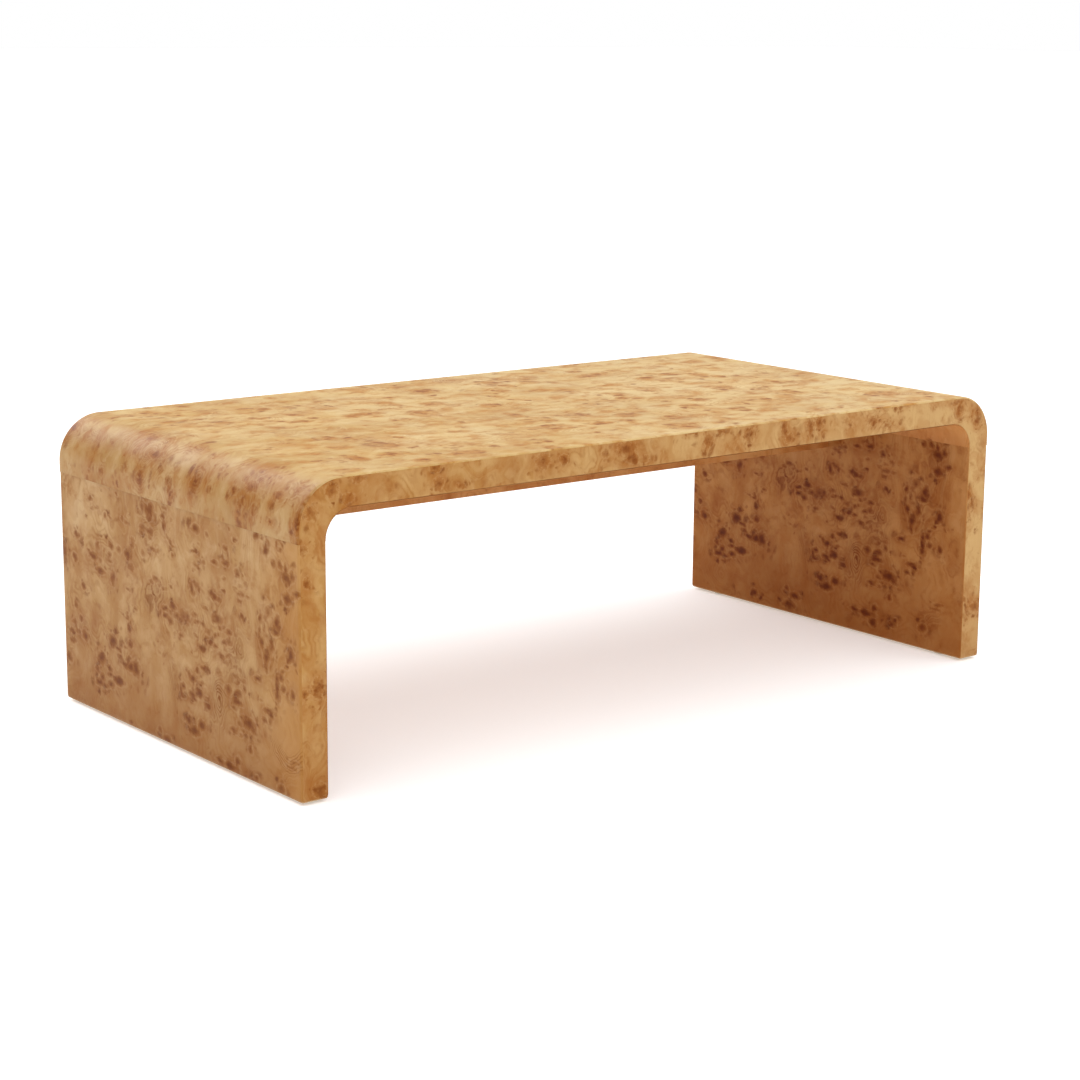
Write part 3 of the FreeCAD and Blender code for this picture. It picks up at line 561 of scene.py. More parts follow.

# %% [markdown]
# The ground is honey with slow drifts from deep to pale, satin bands along the grain, and a mottle of
# warmer patches with small brown dabs in them. A leaf may also be painted paler towards one end: painted
# light, where the table is lit more strongly.

# %% Honey ground
def honey_ground(tree, at, tones, recipe):
    pushed = at["pushed"]
    drift = noise(tree, stretched(tree, pushed, 9, 5), 1, 4, 0.55)
    colour = colour_steps(tree, drift, tones["ground"])
    bands = noise(tree, stretched(tree, pushed, 26, 11, 3.1), 1, 2)
    colour = coat(tree, colour, tones["pale"], between(tree, bands, 0.42, 0.70), 0.32)
    # Painted light: a pale coat that grows towards one end of the leaf.
    way, reach, most = recipe["painted_light_fade"]
    colour = coat(tree, colour, tones["pale"], between(tree, at[way], -reach, reach), most)
    wide, long = recipe["drifts"]
    veil = noise(tree, stretched(tree, pushed, wide, long, 4.9), 1, 5, 0.62)
    colour = coat(tree, colour, tones["cluster"], between(tree, veil, 0.47, 0.68), recipe["mottle"])
    colour = coat(tree, colour, tones["pale"], between(tree, veil, 0.46, 0.32), 0.45)
    dabs = noise(tree, stretched(tree, pushed, wide * 2.1, long * 2.1, 7.7), 1, 3, 0.6)
    dabs = times(tree, between(tree, dabs, 0.55, 0.72), between(tree, veil, 0.44, 0.60))
    return coat(tree, colour, tones["stain"], dabs, recipe["dabs"])


print("first coat:", honey_ground.__name__)

# %% [markdown]
# Grain lines run like contour lines on a map whose hills are the eyes and stains. Broad ribbons, lines
# and the finer lines inside stains read the same height, and a very fine fibre lies over them.

# %% Grain lines
RIBBON_TURNS = 7.0
LINE_TURNS = 30.0
FINE_LINE_TURNS = 55.0


def grain_lines(tree, at, colour, tones, recipe):
    slow = noise(tree, stretched(tree, at["leaf"], 10, 6, 1.3), 1, 2)
    height = calc(tree, "MULTIPLY_ADD", slow, 5.0, at["rise"])
    height = calc(tree, "MULTIPLY_ADD", noise(tree, at["pushed"], 40, 2), 0.5, height)
    at["height"] = height
    wave = calc(tree, "SINE", times(tree, height, LINE_TURNS))
    where = between(tree, noise(tree, at["leaf"], 17, 3), 0.44, 0.68)
    where = calc(tree, "MULTIPLY_ADD", at["burl"], 0.8, where)
    where = calc(tree, "MULTIPLY_ADD", at["smoke"], 0.9, where, clamp=True)
    dark_line = times(tree, between(tree, wave, 0.15, 1.0), where)
    colour = coat(tree, colour, tones["stain"], dark_line, 0.30)
    colour = coat(tree, colour, tones["pale"], times(tree, between(tree, wave, -0.3, -1.0), where), 0.18)
    ribbon = calc(tree, "SINE", times(tree, height, RIBBON_TURNS))
    colour = coat(tree, colour, tones["cluster"], between(tree, ribbon, 0.2, 1.0), recipe["ribbons"])
    colour = coat(tree, colour, tones["pale"], between(tree, ribbon, -0.2, -1.0), recipe["ribbons"])
    fibre = noise(tree, stretched(tree, at["pushed"], 520, 40), 1, 3, 0.6)
    return coat(tree, colour, tones["stain"], between(tree, fibre, 0.5, 0.8), 0.18), dark_line, fibre


print("fine lines to one line:", round(FINE_LINE_TURNS / LINE_TURNS, 2))

# %% [markdown]
# Brown stains are cloudy, a little streaked along the grain and crossed by fine lines. The legs are
# painted darker and browner towards the floor, painted shade where less light reaches, and the front of
# an outer leg leaf is more golden. Low at its front corner that leaf has a patch of close curved ripples,
# drawn as rings round one centre.

# %% Brown stains
GOLD = tone(172, 118, 56)
GOLD_REACH = (-0.19, -0.31)
FOOT_SHADE_REACH = (0.14, 0.0)
RIPPLE_CENTRE = (-0.281, 0.098, 0.0)
RIPPLE_TURNS = 2 * math.pi / (4.2 * MM)
RIPPLE_OUTER = (0.058, 0.050)
RIPPLE_INNER = (0.024, 0.034)
RIPPLE_TOP = (0.080, 0.060)


def brown_stains(tree, at, colour, tones, recipe):
    streak = noise(tree, stretched(tree, at["pushed"], 80, 46, 9.1), 1, 4, 0.6)
    cloud = noise(tree, stretched(tree, at["pushed"], 60, 44, 2.3), 1, 3, 0.6)
    fine_line = calc(tree, "SINE", times(tree, at["height"], FINE_LINE_TURNS))
    at["lined"] = between(tree, fine_line, -0.6, 0.8, 0.35, 1.0)
    stain = times(tree, at["smoke"], between(tree, cloud, 0.28, 0.56, 0.60, 1.0), at["lined"])
    colour = coat(tree, colour, tones["stain"], stain, between(tree, streak, 0.3, 0.62, 0.55, 1.0))
    colour = coat(tree, colour, tones["eye"], times(tree, stain, between(tree, streak, 0.44, 0.64)), 0.75)
    # Painted shade: darker towards the floor, at the foot of each leg leaf and edge strip.
    colour = coat(tree, colour, tones["cluster"], between(tree, at["along"], *FOOT_SHADE_REACH), recipe["foot"])
    return coat(tree, colour, GOLD, between(tree, at["across"], *GOLD_REACH), recipe["gold"])


def corner_ripples(tree, at, colour, tones):
    away = node(tree, "ShaderNodeVectorMath", {0: at["pushed"], 1: RIPPLE_CENTRE}, operation="DISTANCE")
    away = away.outputs["Value"]
    line = between(tree, calc(tree, "SINE", times(tree, away, RIPPLE_TURNS)), 0.0, 0.9)
    ring = times(tree, between(tree, away, *RIPPLE_OUTER), between(tree, away, *RIPPLE_INNER))
    low_down = between(tree, at["along"], *RIPPLE_TOP)
    return coat(tree, colour, tones["eye"], times(tree, line, ring, low_down), 0.50)


print("ripples lie", round(2 * math.pi / RIPPLE_TURNS / MM, 2), "mm apart")

# %% [markdown]
# The noted eyes are soft bumps in the bud number. A ragged noise frays them, then one step makes the
# brown body, a higher one its dark heart, and a low one the pale ring where the grain bends round it. On
# the waterfall sheet the fine lines of the stains cross the eyes as well.

# %% Noted eyes
def noted_eyes(tree, at, colour, tones, recipe):
    scale, reach = recipe["fray"]
    fray = calc(tree, "SUBTRACT", noise(tree, at["leaf"], scale, 4, 0.7), 0.5)
    depth = calc(tree, "MULTIPLY_ADD", fray, reach, at["bud"])
    near = between(tree, at["bud"], 0.02, 0.16)
    ring = times(tree, near, between(tree, depth, 0.30, 0.05))
    body = times(tree, near, between(tree, depth, 0.12, 0.78))
    if recipe["lined"]:
        body = times(tree, body, at["lined"])
    colour = coat(tree, colour, tones["pale"], ring, 0.25)
    colour = coat(tree, colour, tones["eye"], body, recipe["noted"])
    return coat(tree, colour, tones["core"], between(tree, depth, 0.56, 1.15), recipe["noted"]), body


print("coat of single eyes:", noted_eyes.__name__)

# %% [markdown]
# Between the noted eyes many smaller ones are strewn. They are the cells of a Voronoi pattern: each cell
# draws by lot whether it shows, how big its eye is and how dark. They are thick in a cluster and thin
# elsewhere.

# %% Strewn eyes
def eye_layer(tree, place, cells, amount, size_low, size_high, ragged):
    cell = stretched(tree, place, cells[0], cells[1])
    found = node(tree, "ShaderNodeTexVoronoi", {"Vector": cell, "Scale": 1.0, "Randomness": 1.0},
                 voronoi_dimensions="2D", feature="F1")
    lot = node(tree, "ShaderNodeSeparateColor", {"Color": found.outputs["Color"]}).outputs
    chance = calc(tree, "SUBTRACT", amount, lot["Red"])
    shown = times(tree, between(tree, chance, 0.0, 0.22), calc(tree, "MULTIPLY_ADD", lot["Blue"], 0.6, 0.4))
    radius = calc(tree, "MULTIPLY_ADD", lot["Green"], size_high - size_low, size_low)
    wobble = calc(tree, "MULTIPLY_ADD", ragged, 0.70, -0.35)
    share = calc(tree, "DIVIDE", calc(tree, "ADD", found.outputs["Distance"], wobble), radius)
    body = times(tree, between(tree, share, 1.50, 0.20), shown)
    core = times(tree, between(tree, share, 0.85, 0.0), shown)
    return body, core


def strewn_eyes(tree, at, colour, tones, recipe):
    ragged = noise(tree, at["leaf"], 200, 2)
    patchy = calc(tree, "MULTIPLY_ADD", noise(tree, at["leaf"], 48, 2), 1.2, 0.55)
    strewn = between(tree, noise(tree, stretched(tree, at["leaf"], 19, 19, 5.5), 1, 2), 0.44, 0.64)
    amount = calc(tree, "MAXIMUM", times(tree, at["burl"], patchy), times(tree, strewn, recipe["sprinkle"]))
    crowd = between(tree, amount, 0.10, 0.80)
    cloud = noise(tree, stretched(tree, at["pushed"], 60, 44, 2.3), 1, 3, 0.6)
    patch = times(tree, crowd, between(tree, cloud, 0.3, 0.62, 0.2, 0.85))
    colour = coat(tree, colour, tones["cluster"], patch, recipe["patch"])
    wide, long = recipe["cells"]
    often = times(tree, amount, 0.8)
    small = eye_layer(tree, at["pushed"], (wide * 1.75, long * 1.75), often, 0.24, 0.50, ragged)[0]
    often = times(tree, amount, recipe["strewn"])
    body, core = eye_layer(tree, at["pushed"], (wide, long), often, 0.24, 0.52, ragged)
    lone = eye_layer(tree, at["leaf"], (wide * 0.55, long * 0.55), recipe["lone"], 0.07, 0.19, ragged)[0]
    colour = coat(tree, colour, tones["eye"], small, 0.66)
    colour = coat(tree, colour, tones["eye"], body, 0.85)
    colour = coat(tree, colour, tones["core"], core, 0.45)
    return coat(tree, colour, tones["eye"], lone, 0.80)


print("coat of small eyes:", strewn_eyes.__name__)

# %% [markdown]
# The coats meet here. The waterfall sheet is painted darker and redder towards its two ends, painted shade
# where it turns down from the light, and the outer leg leaves are painted paler towards their heads,
# painted light as from above, so that both have nearly one tone where they meet at the joint. A thin
# satin lacquer lies over all: low shine, slightly uneven, with the fibre and the eyes just felt through it.

# %% Burl finish
def burl_finish(name, tones, recipe):
    finish, tree, shader = new_finish(name, {"Specular IOR Level": recipe["sheen"]})
    at = leaf_place(tree, recipe["seed"])
    colour = honey_ground(tree, at, tones, recipe)
    colour, dark_line, fibre = grain_lines(tree, at, colour, tones, recipe)
    colour = brown_stains(tree, at, colour, tones, recipe)
    if recipe["gold"]:
        colour = corner_ripples(tree, at, colour, tones)
    colour = strewn_eyes(tree, at, colour, tones, recipe)
    colour, body = noted_eyes(tree, at, colour, tones, recipe)
    # Painted light and shade near the leaf's ends: the colour is multiplied by the recipe's end tone.
    if "ends" in recipe:
        first, second, shade = recipe["ends"]
        shaded = blend_colour(tree, 1.0, colour, shade, "MULTIPLY")
        near_first = between(tree, at["along"], *first)
        near_end = calc(tree, "MAXIMUM", near_first, between(tree, at["along"], *second))
        colour = blend_colour(tree, near_end, colour, shaded)
    tree.links.new(colour, shader.inputs["Base Color"])
    gloss = recipe["gloss"]
    worn = between(tree, noise(tree, at["leaf"], 18, 3), 0.3, 0.7, gloss - 0.05, gloss + 0.06)
    tree.links.new(calc(tree, "MULTIPLY_ADD", fibre, 0.05, worn), shader.inputs["Roughness"])
    relief = calc(tree, "SUBTRACT", times(tree, fibre, 0.5), times(tree, body, 0.6))
    relief = calc(tree, "SUBTRACT", relief, times(tree, dark_line, 0.4))
    add_bump(tree, shader, relief, 0.10, 0.6 * MM)
    return finish


print("the coats meet in", burl_finish.__name__)

# %% [markdown]
# Five tones of the same wood: the legs are tan, their inner leaves are redder, a painted warm shade for
# the light that bounces between the legs, the rail and the coves are a warm gold, the waterfall sheet is
# the palest and the edges are the most golden. Each has four steps of ground, then pale, cluster, stain,
# eye and core. A recipe says how strong each coat is and how many cells and drifts there are to a metre,
# and the other recipes only say where they differ from the legs'.

# %% Tones
GROUND_STEPS = (0.28, 0.43, 0.57, 0.72)


def tones_of(ground, pale, cluster, stain, eye, core):
    steps = [(place, tone(*one)) for place, one in zip(GROUND_STEPS, ground)]
    return {"ground": steps, "pale": tone(*pale), "cluster": tone(*cluster), "stain": tone(*stain),
            "eye": tone(*eye), "core": tone(*core)}


LEG_TONES = tones_of([(146, 98, 50), (162, 119, 69), (173, 133, 84), (181, 146, 101)], (188, 153, 108),
                     (144, 91, 42), (122, 68, 18), (118, 62, 10), (92, 42, 2))
# Painted warm shade: the inner leaves and the underside get the legs' tones made redder, for the light
# bounced under the table.
INNER_WARM_SHADE_TONES = tones_of([(151, 89, 38), (168, 110, 55), (179, 123, 67), (186, 135, 82)], (189, 139, 86),
                       (144, 82, 30), (118, 55, 10), (110, 49, 4), (82, 29, 0))
RAIL_TONES = tones_of([(168, 101, 46), (184, 121, 64), (194, 135, 77), (200, 147, 91)], (203, 151, 95),
                      (160, 95, 42), (138, 75, 26), (130, 67, 20), (100, 45, 8))
SHEET_TONES = tones_of([(176, 128, 63), (195, 157, 94), (206, 172, 113), (213, 184, 130)], (216, 189, 137),
                       (180, 120, 48), (164, 100, 32), (152, 88, 24), (122, 62, 12))
EDGE_TONES = tones_of([(149, 93, 40), (168, 117, 58), (178, 131, 73), (187, 144, 90)], (198, 160, 106),
                      (158, 97, 40), (142, 82, 32), (134, 74, 24), (108, 54, 12))
print("steps of ground:", len(LEG_TONES["ground"]))

# %% Recipes and finishes
# Painted shade at the waterfall sheet's two ends, painted light at the outer leg leaves' heads.
SHEET_END_SHADE = ((-0.525, -0.61), (0.55, 0.63), (0.70, 0.62, 0.595, 1.0))
LEG_HEAD = (0.13, 0.30)
LEG_HEAD_LIGHT = (LEG_HEAD, LEG_HEAD, (1.06, 1.10, 1.18, 1.0))
# The foot coat in the recipes is painted shade, darker towards the floor.
LEG_RECIPE = {
    "cells": (58, 62), "drifts": (30, 28), "seed": 0.0, "gloss": 0.38, "sheen": 0.07, "sprinkle": 0.20,
    "strewn": 0.75, "lone": 0.05, "patch": 0.85, "noted": 0.95, "mottle": 0.58, "dabs": 0.45,
    "ribbons": 0.16, "foot": 0.60, "painted_light_fade": ("across", 0.6, 0.0), "fray": (110, 0.8), "gold": 0.0,
    "lined": False}
SHEET_RECIPE = {
    **LEG_RECIPE, "cells": (58, 46), "drifts": (44, 28), "seed": 0.7, "gloss": 0.36, "sheen": 0.12,
    "sprinkle": 0.50, "strewn": 1.0, "patch": 0.90, "noted": 0.92, "mottle": 0.75, "dabs": 0.95,
    "foot": 0.0, "painted_light_fade": ("along", 0.55, 0.55), "ends": SHEET_END_SHADE, "fray": (190, 1.1), "lined": True}
EDGE_RECIPE = {
    **LEG_RECIPE, "cells": (88, 88), "drifts": (36, 30), "seed": 1.9, "gloss": 0.40, "ribbons": 0.26,
    "noted": 0.52, "mottle": 0.60, "foot": 0.35, "painted_light_fade": ("across", 0.6, 0.85), "fray": (230, 1.4)}
OUTER_RECIPE = {**LEG_RECIPE, "gold": 0.55, "noted": 0.77, "ends": LEG_HEAD_LIGHT}
leg_burl = burl_finish("leg burl", LEG_TONES, OUTER_RECIPE)
inner_shade_burl = burl_finish("inner leg burl in painted warm shade", INNER_WARM_SHADE_TONES, LEG_RECIPE)
rail_burl = burl_finish("rail burl", RAIL_TONES, {**LEG_RECIPE, "foot": 0.0})
sheet_burl = burl_finish("waterfall burl", SHEET_TONES, SHEET_RECIPE)
edge_burl = burl_finish("edge burl", EDGE_TONES, EDGE_RECIPE)
print("burl finishes", [m.name for m in (leg_burl, inner_shade_burl, rail_burl, sheet_burl, edge_burl)])

# %% [markdown]
# A veneer leaf starts flat and is rolled onto what carries it. The same rule serves nearly all of them:
# run straight, bend round one radius, run straight again. So one Geometry Nodes tree makes them: it
# lays a grid, bends it by that rule, eases its long edges, and keeps the flat place of every point, so
# the figure bends with the leaf as it does on the real table.

# %% What the leaf's tree is given, and how a tree starts and ends
LEAF_INPUTS = [
    ("Start", "NodeSocketFloat"), ("End", "NodeSocketFloat"), ("Flat Run", "NodeSocketFloat"),
    ("Bend Radius", "NodeSocketFloat"), ("Width", "NodeSocketFloat"), ("Ease", "NodeSocketFloat"),
    ("Tuck", "NodeSocketFloat"), ("Shown Side", "NodeSocketFloat"), ("Rows", "NodeSocketInt"),
    ("Columns", "NodeSocketInt"), ("Origin", "NodeSocketVector"), ("Run Way", "NodeSocketVector"),
    ("Fall Way", "NodeSocketVector"), ("Width Way", "NodeSocketVector"), ("Finish", "NodeSocketMaterial"),
]


def start_tree(name, inputs):
    tree = bpy.data.node_groups.new(name, "GeometryNodeTree")
    tree.interface.new_socket("Geometry", in_out="INPUT", socket_type="NodeSocketGeometry")
    tree.interface.new_socket("Geometry", in_out="OUTPUT", socket_type="NodeSocketGeometry")
    for word, kind in inputs:
        tree.interface.new_socket(word, in_out="INPUT", socket_type=kind)
    return tree, node(tree, "NodeGroupInput").outputs


def end_tree(tree, shape, finish):
    real = node(tree, "GeometryNodeRealizeInstances", {"Geometry": shape})
    dressed = node(tree, "GeometryNodeSetMaterial", {"Geometry": real.outputs["Geometry"],
                                                     "Material": finish})
    node(tree, "NodeGroupOutput", {"Geometry": dressed.outputs["Geometry"]})


print("a rolled leaf is given", len(LEAF_INPUTS), "values")

# %% [markdown]
# Along the leaf, a point that lies past the straight run is turned by the bend, and what is left runs
# straight down. Across the leaf, the last columns at each side roll over by a quarter turn: these eased
# edges are what softens the table's arrises. The foot's bend also draws the sides in, where two rounded
# edges meet in a mitre.

# %% Bend along and ease across
EASE_COLUMNS = 3


def bend_along(tree, given, along):
    radius = given["Bend Radius"]
    side = calc(tree, "SIGN", along)
    reach = calc(tree, "ABSOLUTE", along)
    past = calc(tree, "MAXIMUM", calc(tree, "SUBTRACT", reach, given["Flat Run"]), 0.0)
    bend = calc(tree, "MINIMUM", calc(tree, "DIVIDE", past, radius), math.pi / 2)
    rest = calc(tree, "SUBTRACT", past, times(tree, radius, math.pi / 2))
    turned = calc(tree, "SINE", bend)
    lifted = calc(tree, "COSINE", bend)
    sag = times(tree, radius, calc(tree, "SUBTRACT", 1.0, lifted))
    run = calc(tree, "MULTIPLY_ADD", radius, turned, calc(tree, "MINIMUM", reach, given["Flat Run"]))
    fall = calc(tree, "ADD", sag, calc(tree, "MAXIMUM", rest, 0.0))
    out = vector_calc(tree, "SUBTRACT",
                      vector_calc(tree, "SCALE", given["Run Way"], times(tree, side, turned)),
                      vector_calc(tree, "SCALE", given["Fall Way"], lifted))
    return times(tree, side, run), fall, sag, out


def ease_across(tree, given, column, sag):
    half = calc(tree, "SUBTRACT", times(tree, given["Width"], 0.5), times(tree, given["Tuck"], sag))
    level = calc(tree, "DIVIDE", 2.0 * EASE_COLUMNS, calc(tree, "SUBTRACT", given["Columns"], 1.0))
    level = calc(tree, "SUBTRACT", 1.0, level)
    wide = calc(tree, "ABSOLUTE", column)
    over = calc(tree, "MAXIMUM", calc(tree, "SUBTRACT", wide, level), 0.0)
    roll = times(tree, calc(tree, "DIVIDE", over, calc(tree, "SUBTRACT", 1.0, level)), math.pi / 2)
    flat = times(tree, calc(tree, "DIVIDE", calc(tree, "MINIMUM", wide, level), level),
                 calc(tree, "SUBTRACT", half, given["Ease"]))
    across = calc(tree, "MULTIPLY_ADD", given["Ease"], calc(tree, "SINE", roll), flat)
    drop = times(tree, given["Ease"], calc(tree, "SUBTRACT", 1.0, calc(tree, "COSINE", roll)))
    return times(tree, across, calc(tree, "SIGN", column)), drop


print("columns that roll over at each edge:", EASE_COLUMNS)

# %% The rolled leaf's node tree
def rolled_leaf_tree():
    tree, given = start_tree("rolled veneer leaf", LEAF_INPUTS)
    grid = node(tree, "GeometryNodeMeshGrid", {"Size X": 1.0, "Size Y": 2.0, "Vertices X": given["Rows"],
                                               "Vertices Y": given["Columns"]})
    place = node(tree, "GeometryNodeInputPosition").outputs["Position"]
    place = node(tree, "ShaderNodeSeparateXYZ", {"Vector": place}).outputs
    span = calc(tree, "SUBTRACT", given["End"], given["Start"])
    along = calc(tree, "MULTIPLY_ADD", calc(tree, "ADD", place["X"], 0.5), span, given["Start"])
    run, fall, sag, out = bend_along(tree, given, along)
    across, drop = ease_across(tree, given, place["Y"], sag)
    spot = given["Origin"]
    for way, length in (("Run Way", run), ("Fall Way", fall), ("Width Way", across)):
        spot = vector_calc(tree, "ADD", spot, vector_calc(tree, "SCALE", given[way], length))
    eased = vector_calc(tree, "SCALE", out, times(tree, drop, given["Shown Side"]))
    spot = vector_calc(tree, "SUBTRACT", spot, eased)
    flat_place = node(tree, "ShaderNodeCombineXYZ", {"X": across, "Y": along}).outputs["Vector"]
    kept = node(tree, "GeometryNodeStoreNamedAttribute",
                {"Geometry": grid.outputs["Mesh"], "Name": "leaf", "Value": flat_place},
                data_type="FLOAT_VECTOR", domain="POINT")
    bent = node(tree, "GeometryNodeSetPosition", {"Geometry": kept.outputs["Geometry"], "Position": spot})
    end_tree(tree, bent.outputs["Geometry"], given["Finish"])
    return tree


rolled_leaf = rolled_leaf_tree()
print("rolled leaf tree:", len(rolled_leaf.nodes), "nodes")

# %% [markdown]
# Running a tree is always the same: an empty piece gets the modifier, its inputs are set by their
# identifiers, a Solidify modifier gives the leaf its thickness, and the result is read back as a plain
# mesh. The modifiers are then removed, and edges sharper than the eased ones are marked so that flat faces
# stay flat in the light. Leaves that carry the noted figure get a finer mesh than plain ones. A leaf that
# lies flat has its bend far beyond its end.

# %% Run a tree and keep its mesh
SHARP = math.radians(38)
FINE_STEP = 3 * MM
SHEET_STEP = 4.6 * MM
PLAIN_STEP = 6 * MM
FACE_EASE = 2.2 * MM
INSIDE_EASE = 0.9 * MM
RAIL_EASE = 0.6 * MM
HOLLOW_EASE = 0.3 * MM
CRISP_EASE = 0.02 * MM
NO_BEND = 10.0
FEWEST_COLUMNS = 9


def keep_mesh(piece):
    watch = bpy.context.evaluated_depsgraph_get()
    made = bpy.data.meshes.new_from_object(piece.evaluated_get(watch), preserve_all_data_layers=True,
                                           depsgraph=watch)
    blank = piece.data
    piece.modifiers.clear()
    piece.data = made
    bpy.data.meshes.remove(blank)
    made.name = piece.name
    made.shade_smooth()
    made.set_sharp_from_angle(angle=SHARP)
    return piece


def thicken(piece, thickness):
    wall = piece.modifiers.new("thickness", "SOLIDIFY")
    wall.thickness = thickness
    wall.offset = -1
    wall.use_even_offset = True


def run_tree(tree, name, sizes, thickness=None):
    piece = add_object(name, bpy.data.meshes.new(name))
    maker = piece.modifiers.new("maker", "NODES")
    maker.node_group = tree
    for item in tree.interface.items_tree:
        if item.in_out == "INPUT" and item.name in sizes:
            maker[item.identifier] = sizes[item.name]
    if thickness:
        thicken(piece, thickness)
    return keep_mesh(piece)


def read_vectors(rows, word):
    values = np.zeros(len(rows) * 3, np.float32)
    rows.foreach_get(word, values)
    return values.reshape(-1, 3).astype(float)


def read_leaf(piece):
    flat = read_vectors(piece.data.attributes["leaf"].data, "vector")
    return flat[:, 0], flat[:, 1]


def points_of(piece):
    return read_vectors(piece.data.vertices, "co")


def settle(piece, slot, *nodes):
    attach(piece, "root")
    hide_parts(*nodes)
    return piece


def leaf_sizes(start, end, width, step, finish, **more):
    sizes = {"Start": start, "End": end, "Width": width, "Finish": finish, "Flat Run": NO_BEND,
             "Bend Radius": 10 * MM, "Ease": CRISP_EASE, "Tuck": 0.0, "Shown Side": 1.0}
    sizes["Rows"] = max(2, round((end - start) / step) + 1)
    sizes["Columns"] = max(FEWEST_COLUMNS, round(width / step) + 2 * EASE_COLUMNS)
    sizes.update(more)
    return sizes


print("mesh steps in mm:", [round(step / MM, 1) for step in (FINE_STEP, SHEET_STEP, PLAIN_STEP)])

# %% [markdown]
# The waterfall sheet is the table's main piece: one leaf that climbs from the left joint, rolls over
# the left corner, crosses the top and falls over the right corner. It has no joint at the bends, which
# is what gives the table its name.

# %% Waterfall sheet
waterfall = run_tree(rolled_leaf, "waterfall_face", leaf_sizes(
    -sheet_reach, sheet_reach, 2 * half_depth, SHEET_STEP, sheet_burl, **{
        "Flat Run": flat_run, "Bend Radius": corner_radius, "Ease": FACE_EASE,
        "Origin": (0, 0, table_height), "Run Way": (1, 0, 0), "Fall Way": (0, 0, -1),
        "Width Way": (0, 1, 0)}), veneer)
draw_figure(waterfall, *read_leaf(waterfall), ROLL_EYES, SHEET_STAINS, SHEET_CLUSTERS)
settle(waterfall, "burl_veneer", "waterfall_face_veneer")
print("waterfall sheet", len(waterfall.data.polygons), "faces")

# %% [markdown]
# The leg leaves hang from the joint and roll under the foot. The outer leaf of one leg and the inner
# leaf of the other show the same figure, slipped by a few centimetres, and the two other leaves show its
# mirror image, as book-matched leaves do. The bend is a hair larger than the foot below it, so the skin
# never shows through.

# %% Leg leaves
FOOT_BEND = foot_radius + 0.1 * MM
LEAF_SLIP = (33 * MM, 26 * MM)
LEG_ROWS = 112
leg_drop = joint_height - (leg_foot + foot_radius)
leg_reach = leg_drop + FOOT_BEND * math.pi / 2


def leg_leaf(name, side, outer, node_name):
    place = leg_face if outer else inner_wall
    way = side if outer else -side
    finish = leg_burl if outer else inner_shade_burl
    ease = FACE_EASE if outer else INSIDE_EASE
    sizes = leaf_sizes(0.0, leg_reach, 2 * half_depth, FINE_STEP, finish, **{
        "Flat Run": leg_drop, "Bend Radius": FOOT_BEND, "Ease": ease, "Tuck": 1.0, "Rows": LEG_ROWS,
        "Origin": (side * place, 0, joint_height), "Run Way": (0, 0, -1), "Fall Way": (-way, 0, 0),
        "Width Way": (0, way, 0)})
    piece = run_tree(rolled_leaf, name, sizes, veneer)
    along = read_leaf(piece)[1]
    mirrored = 1 if way < 0 else -1
    slip_across, slip_along = (0, 0) if outer else LEAF_SLIP
    draw_figure(piece, points_of(piece)[:, 1] * mirrored - slip_across, joint_height - along - slip_along,
                LEG_EYES, LEG_STAINS)
    return settle(piece, "burl_veneer", node_name)


for word, side in (("left", -1), ("right", 1)):
    leg_leaf(f"{word}_leg_outside", side, True, f"{word}_leg_outer_veneer")
    leg_leaf(f"{word}_leg_inside", side, False, f"{word}_leg_inner_veneer")

# %% [markdown]
# Below the top lie the underside leaf and the two cove leaves, which turn the inside corners. Their
# shown side is the hollow one, so the same rule bends them towards the eye. The coves have a plain golden
# figure with stains and no noted eyes.

# %% Underside and coves
def hollow_leaf(name, start, end, node_name):
    finish = rail_burl if "cove" in name else inner_shade_burl
    sizes = leaf_sizes(start, end, 2 * half_depth, PLAIN_STEP, finish, **{
        "Flat Run": top_joint, "Bend Radius": cove_radius, "Shown Side": -1.0,
        "Ease": HOLLOW_EASE, "Origin": (0, 0, underside), "Run Way": (1, 0, 0), "Fall Way": (0, 0, -1),
        "Width Way": (0, -1, 0)})
    piece = run_tree(rolled_leaf, name, sizes, veneer)
    across, along = read_leaf(piece)
    if "cove" in name:
        draw_figure(piece, -across, np.abs(along), [], LEG_STAINS)
    else:
        draw_figure(piece, -across, -along, [], SHEET_STAINS, SHEET_CLUSTERS)
    return settle(piece, "burl_veneer", node_name)


cove_arc = cove_radius * math.pi / 2
hollow_leaf("top_underside", -top_joint, top_joint, "top_underside_veneer")
hollow_leaf("left_cove", -top_joint - cove_arc, -top_joint, "left_corner_cove_veneer")
hollow_leaf("right_cove", top_joint, top_joint + cove_arc, "right_corner_cove_veneer")
print("cove arc", round(cove_arc, 4))

# %% [markdown]
# The edge strips close the panel's front and back. Those of the top and the legs are rolled leaves that
# lie flat, or bend once at the foot. Every strip reads its notes by its place on the table.

# %% Straight edge strips
def finish_strip(piece, face, node_name):
    points = points_of(piece)
    draw_figure(piece, points[:, 0] * -face, points[:, 2], EDGE_EYES, EDGE_STAINS)
    return settle(piece, "burl_veneer", node_name)


def straight_strip(name, face, node_name):
    low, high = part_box(node_name)
    upper = table_height - FACE_EASE
    sizes = leaf_sizes(low.x, high.x, upper - low.z, FINE_STEP, edge_burl, **{
        "Origin": (0, face * half_depth, (low.z + upper) / 2), "Run Way": (1, 0, 0),
        "Fall Way": (0, -face, 0), "Width Way": (0, 0, -face)})
    return finish_strip(run_tree(rolled_leaf, name, sizes, veneer), face, node_name)


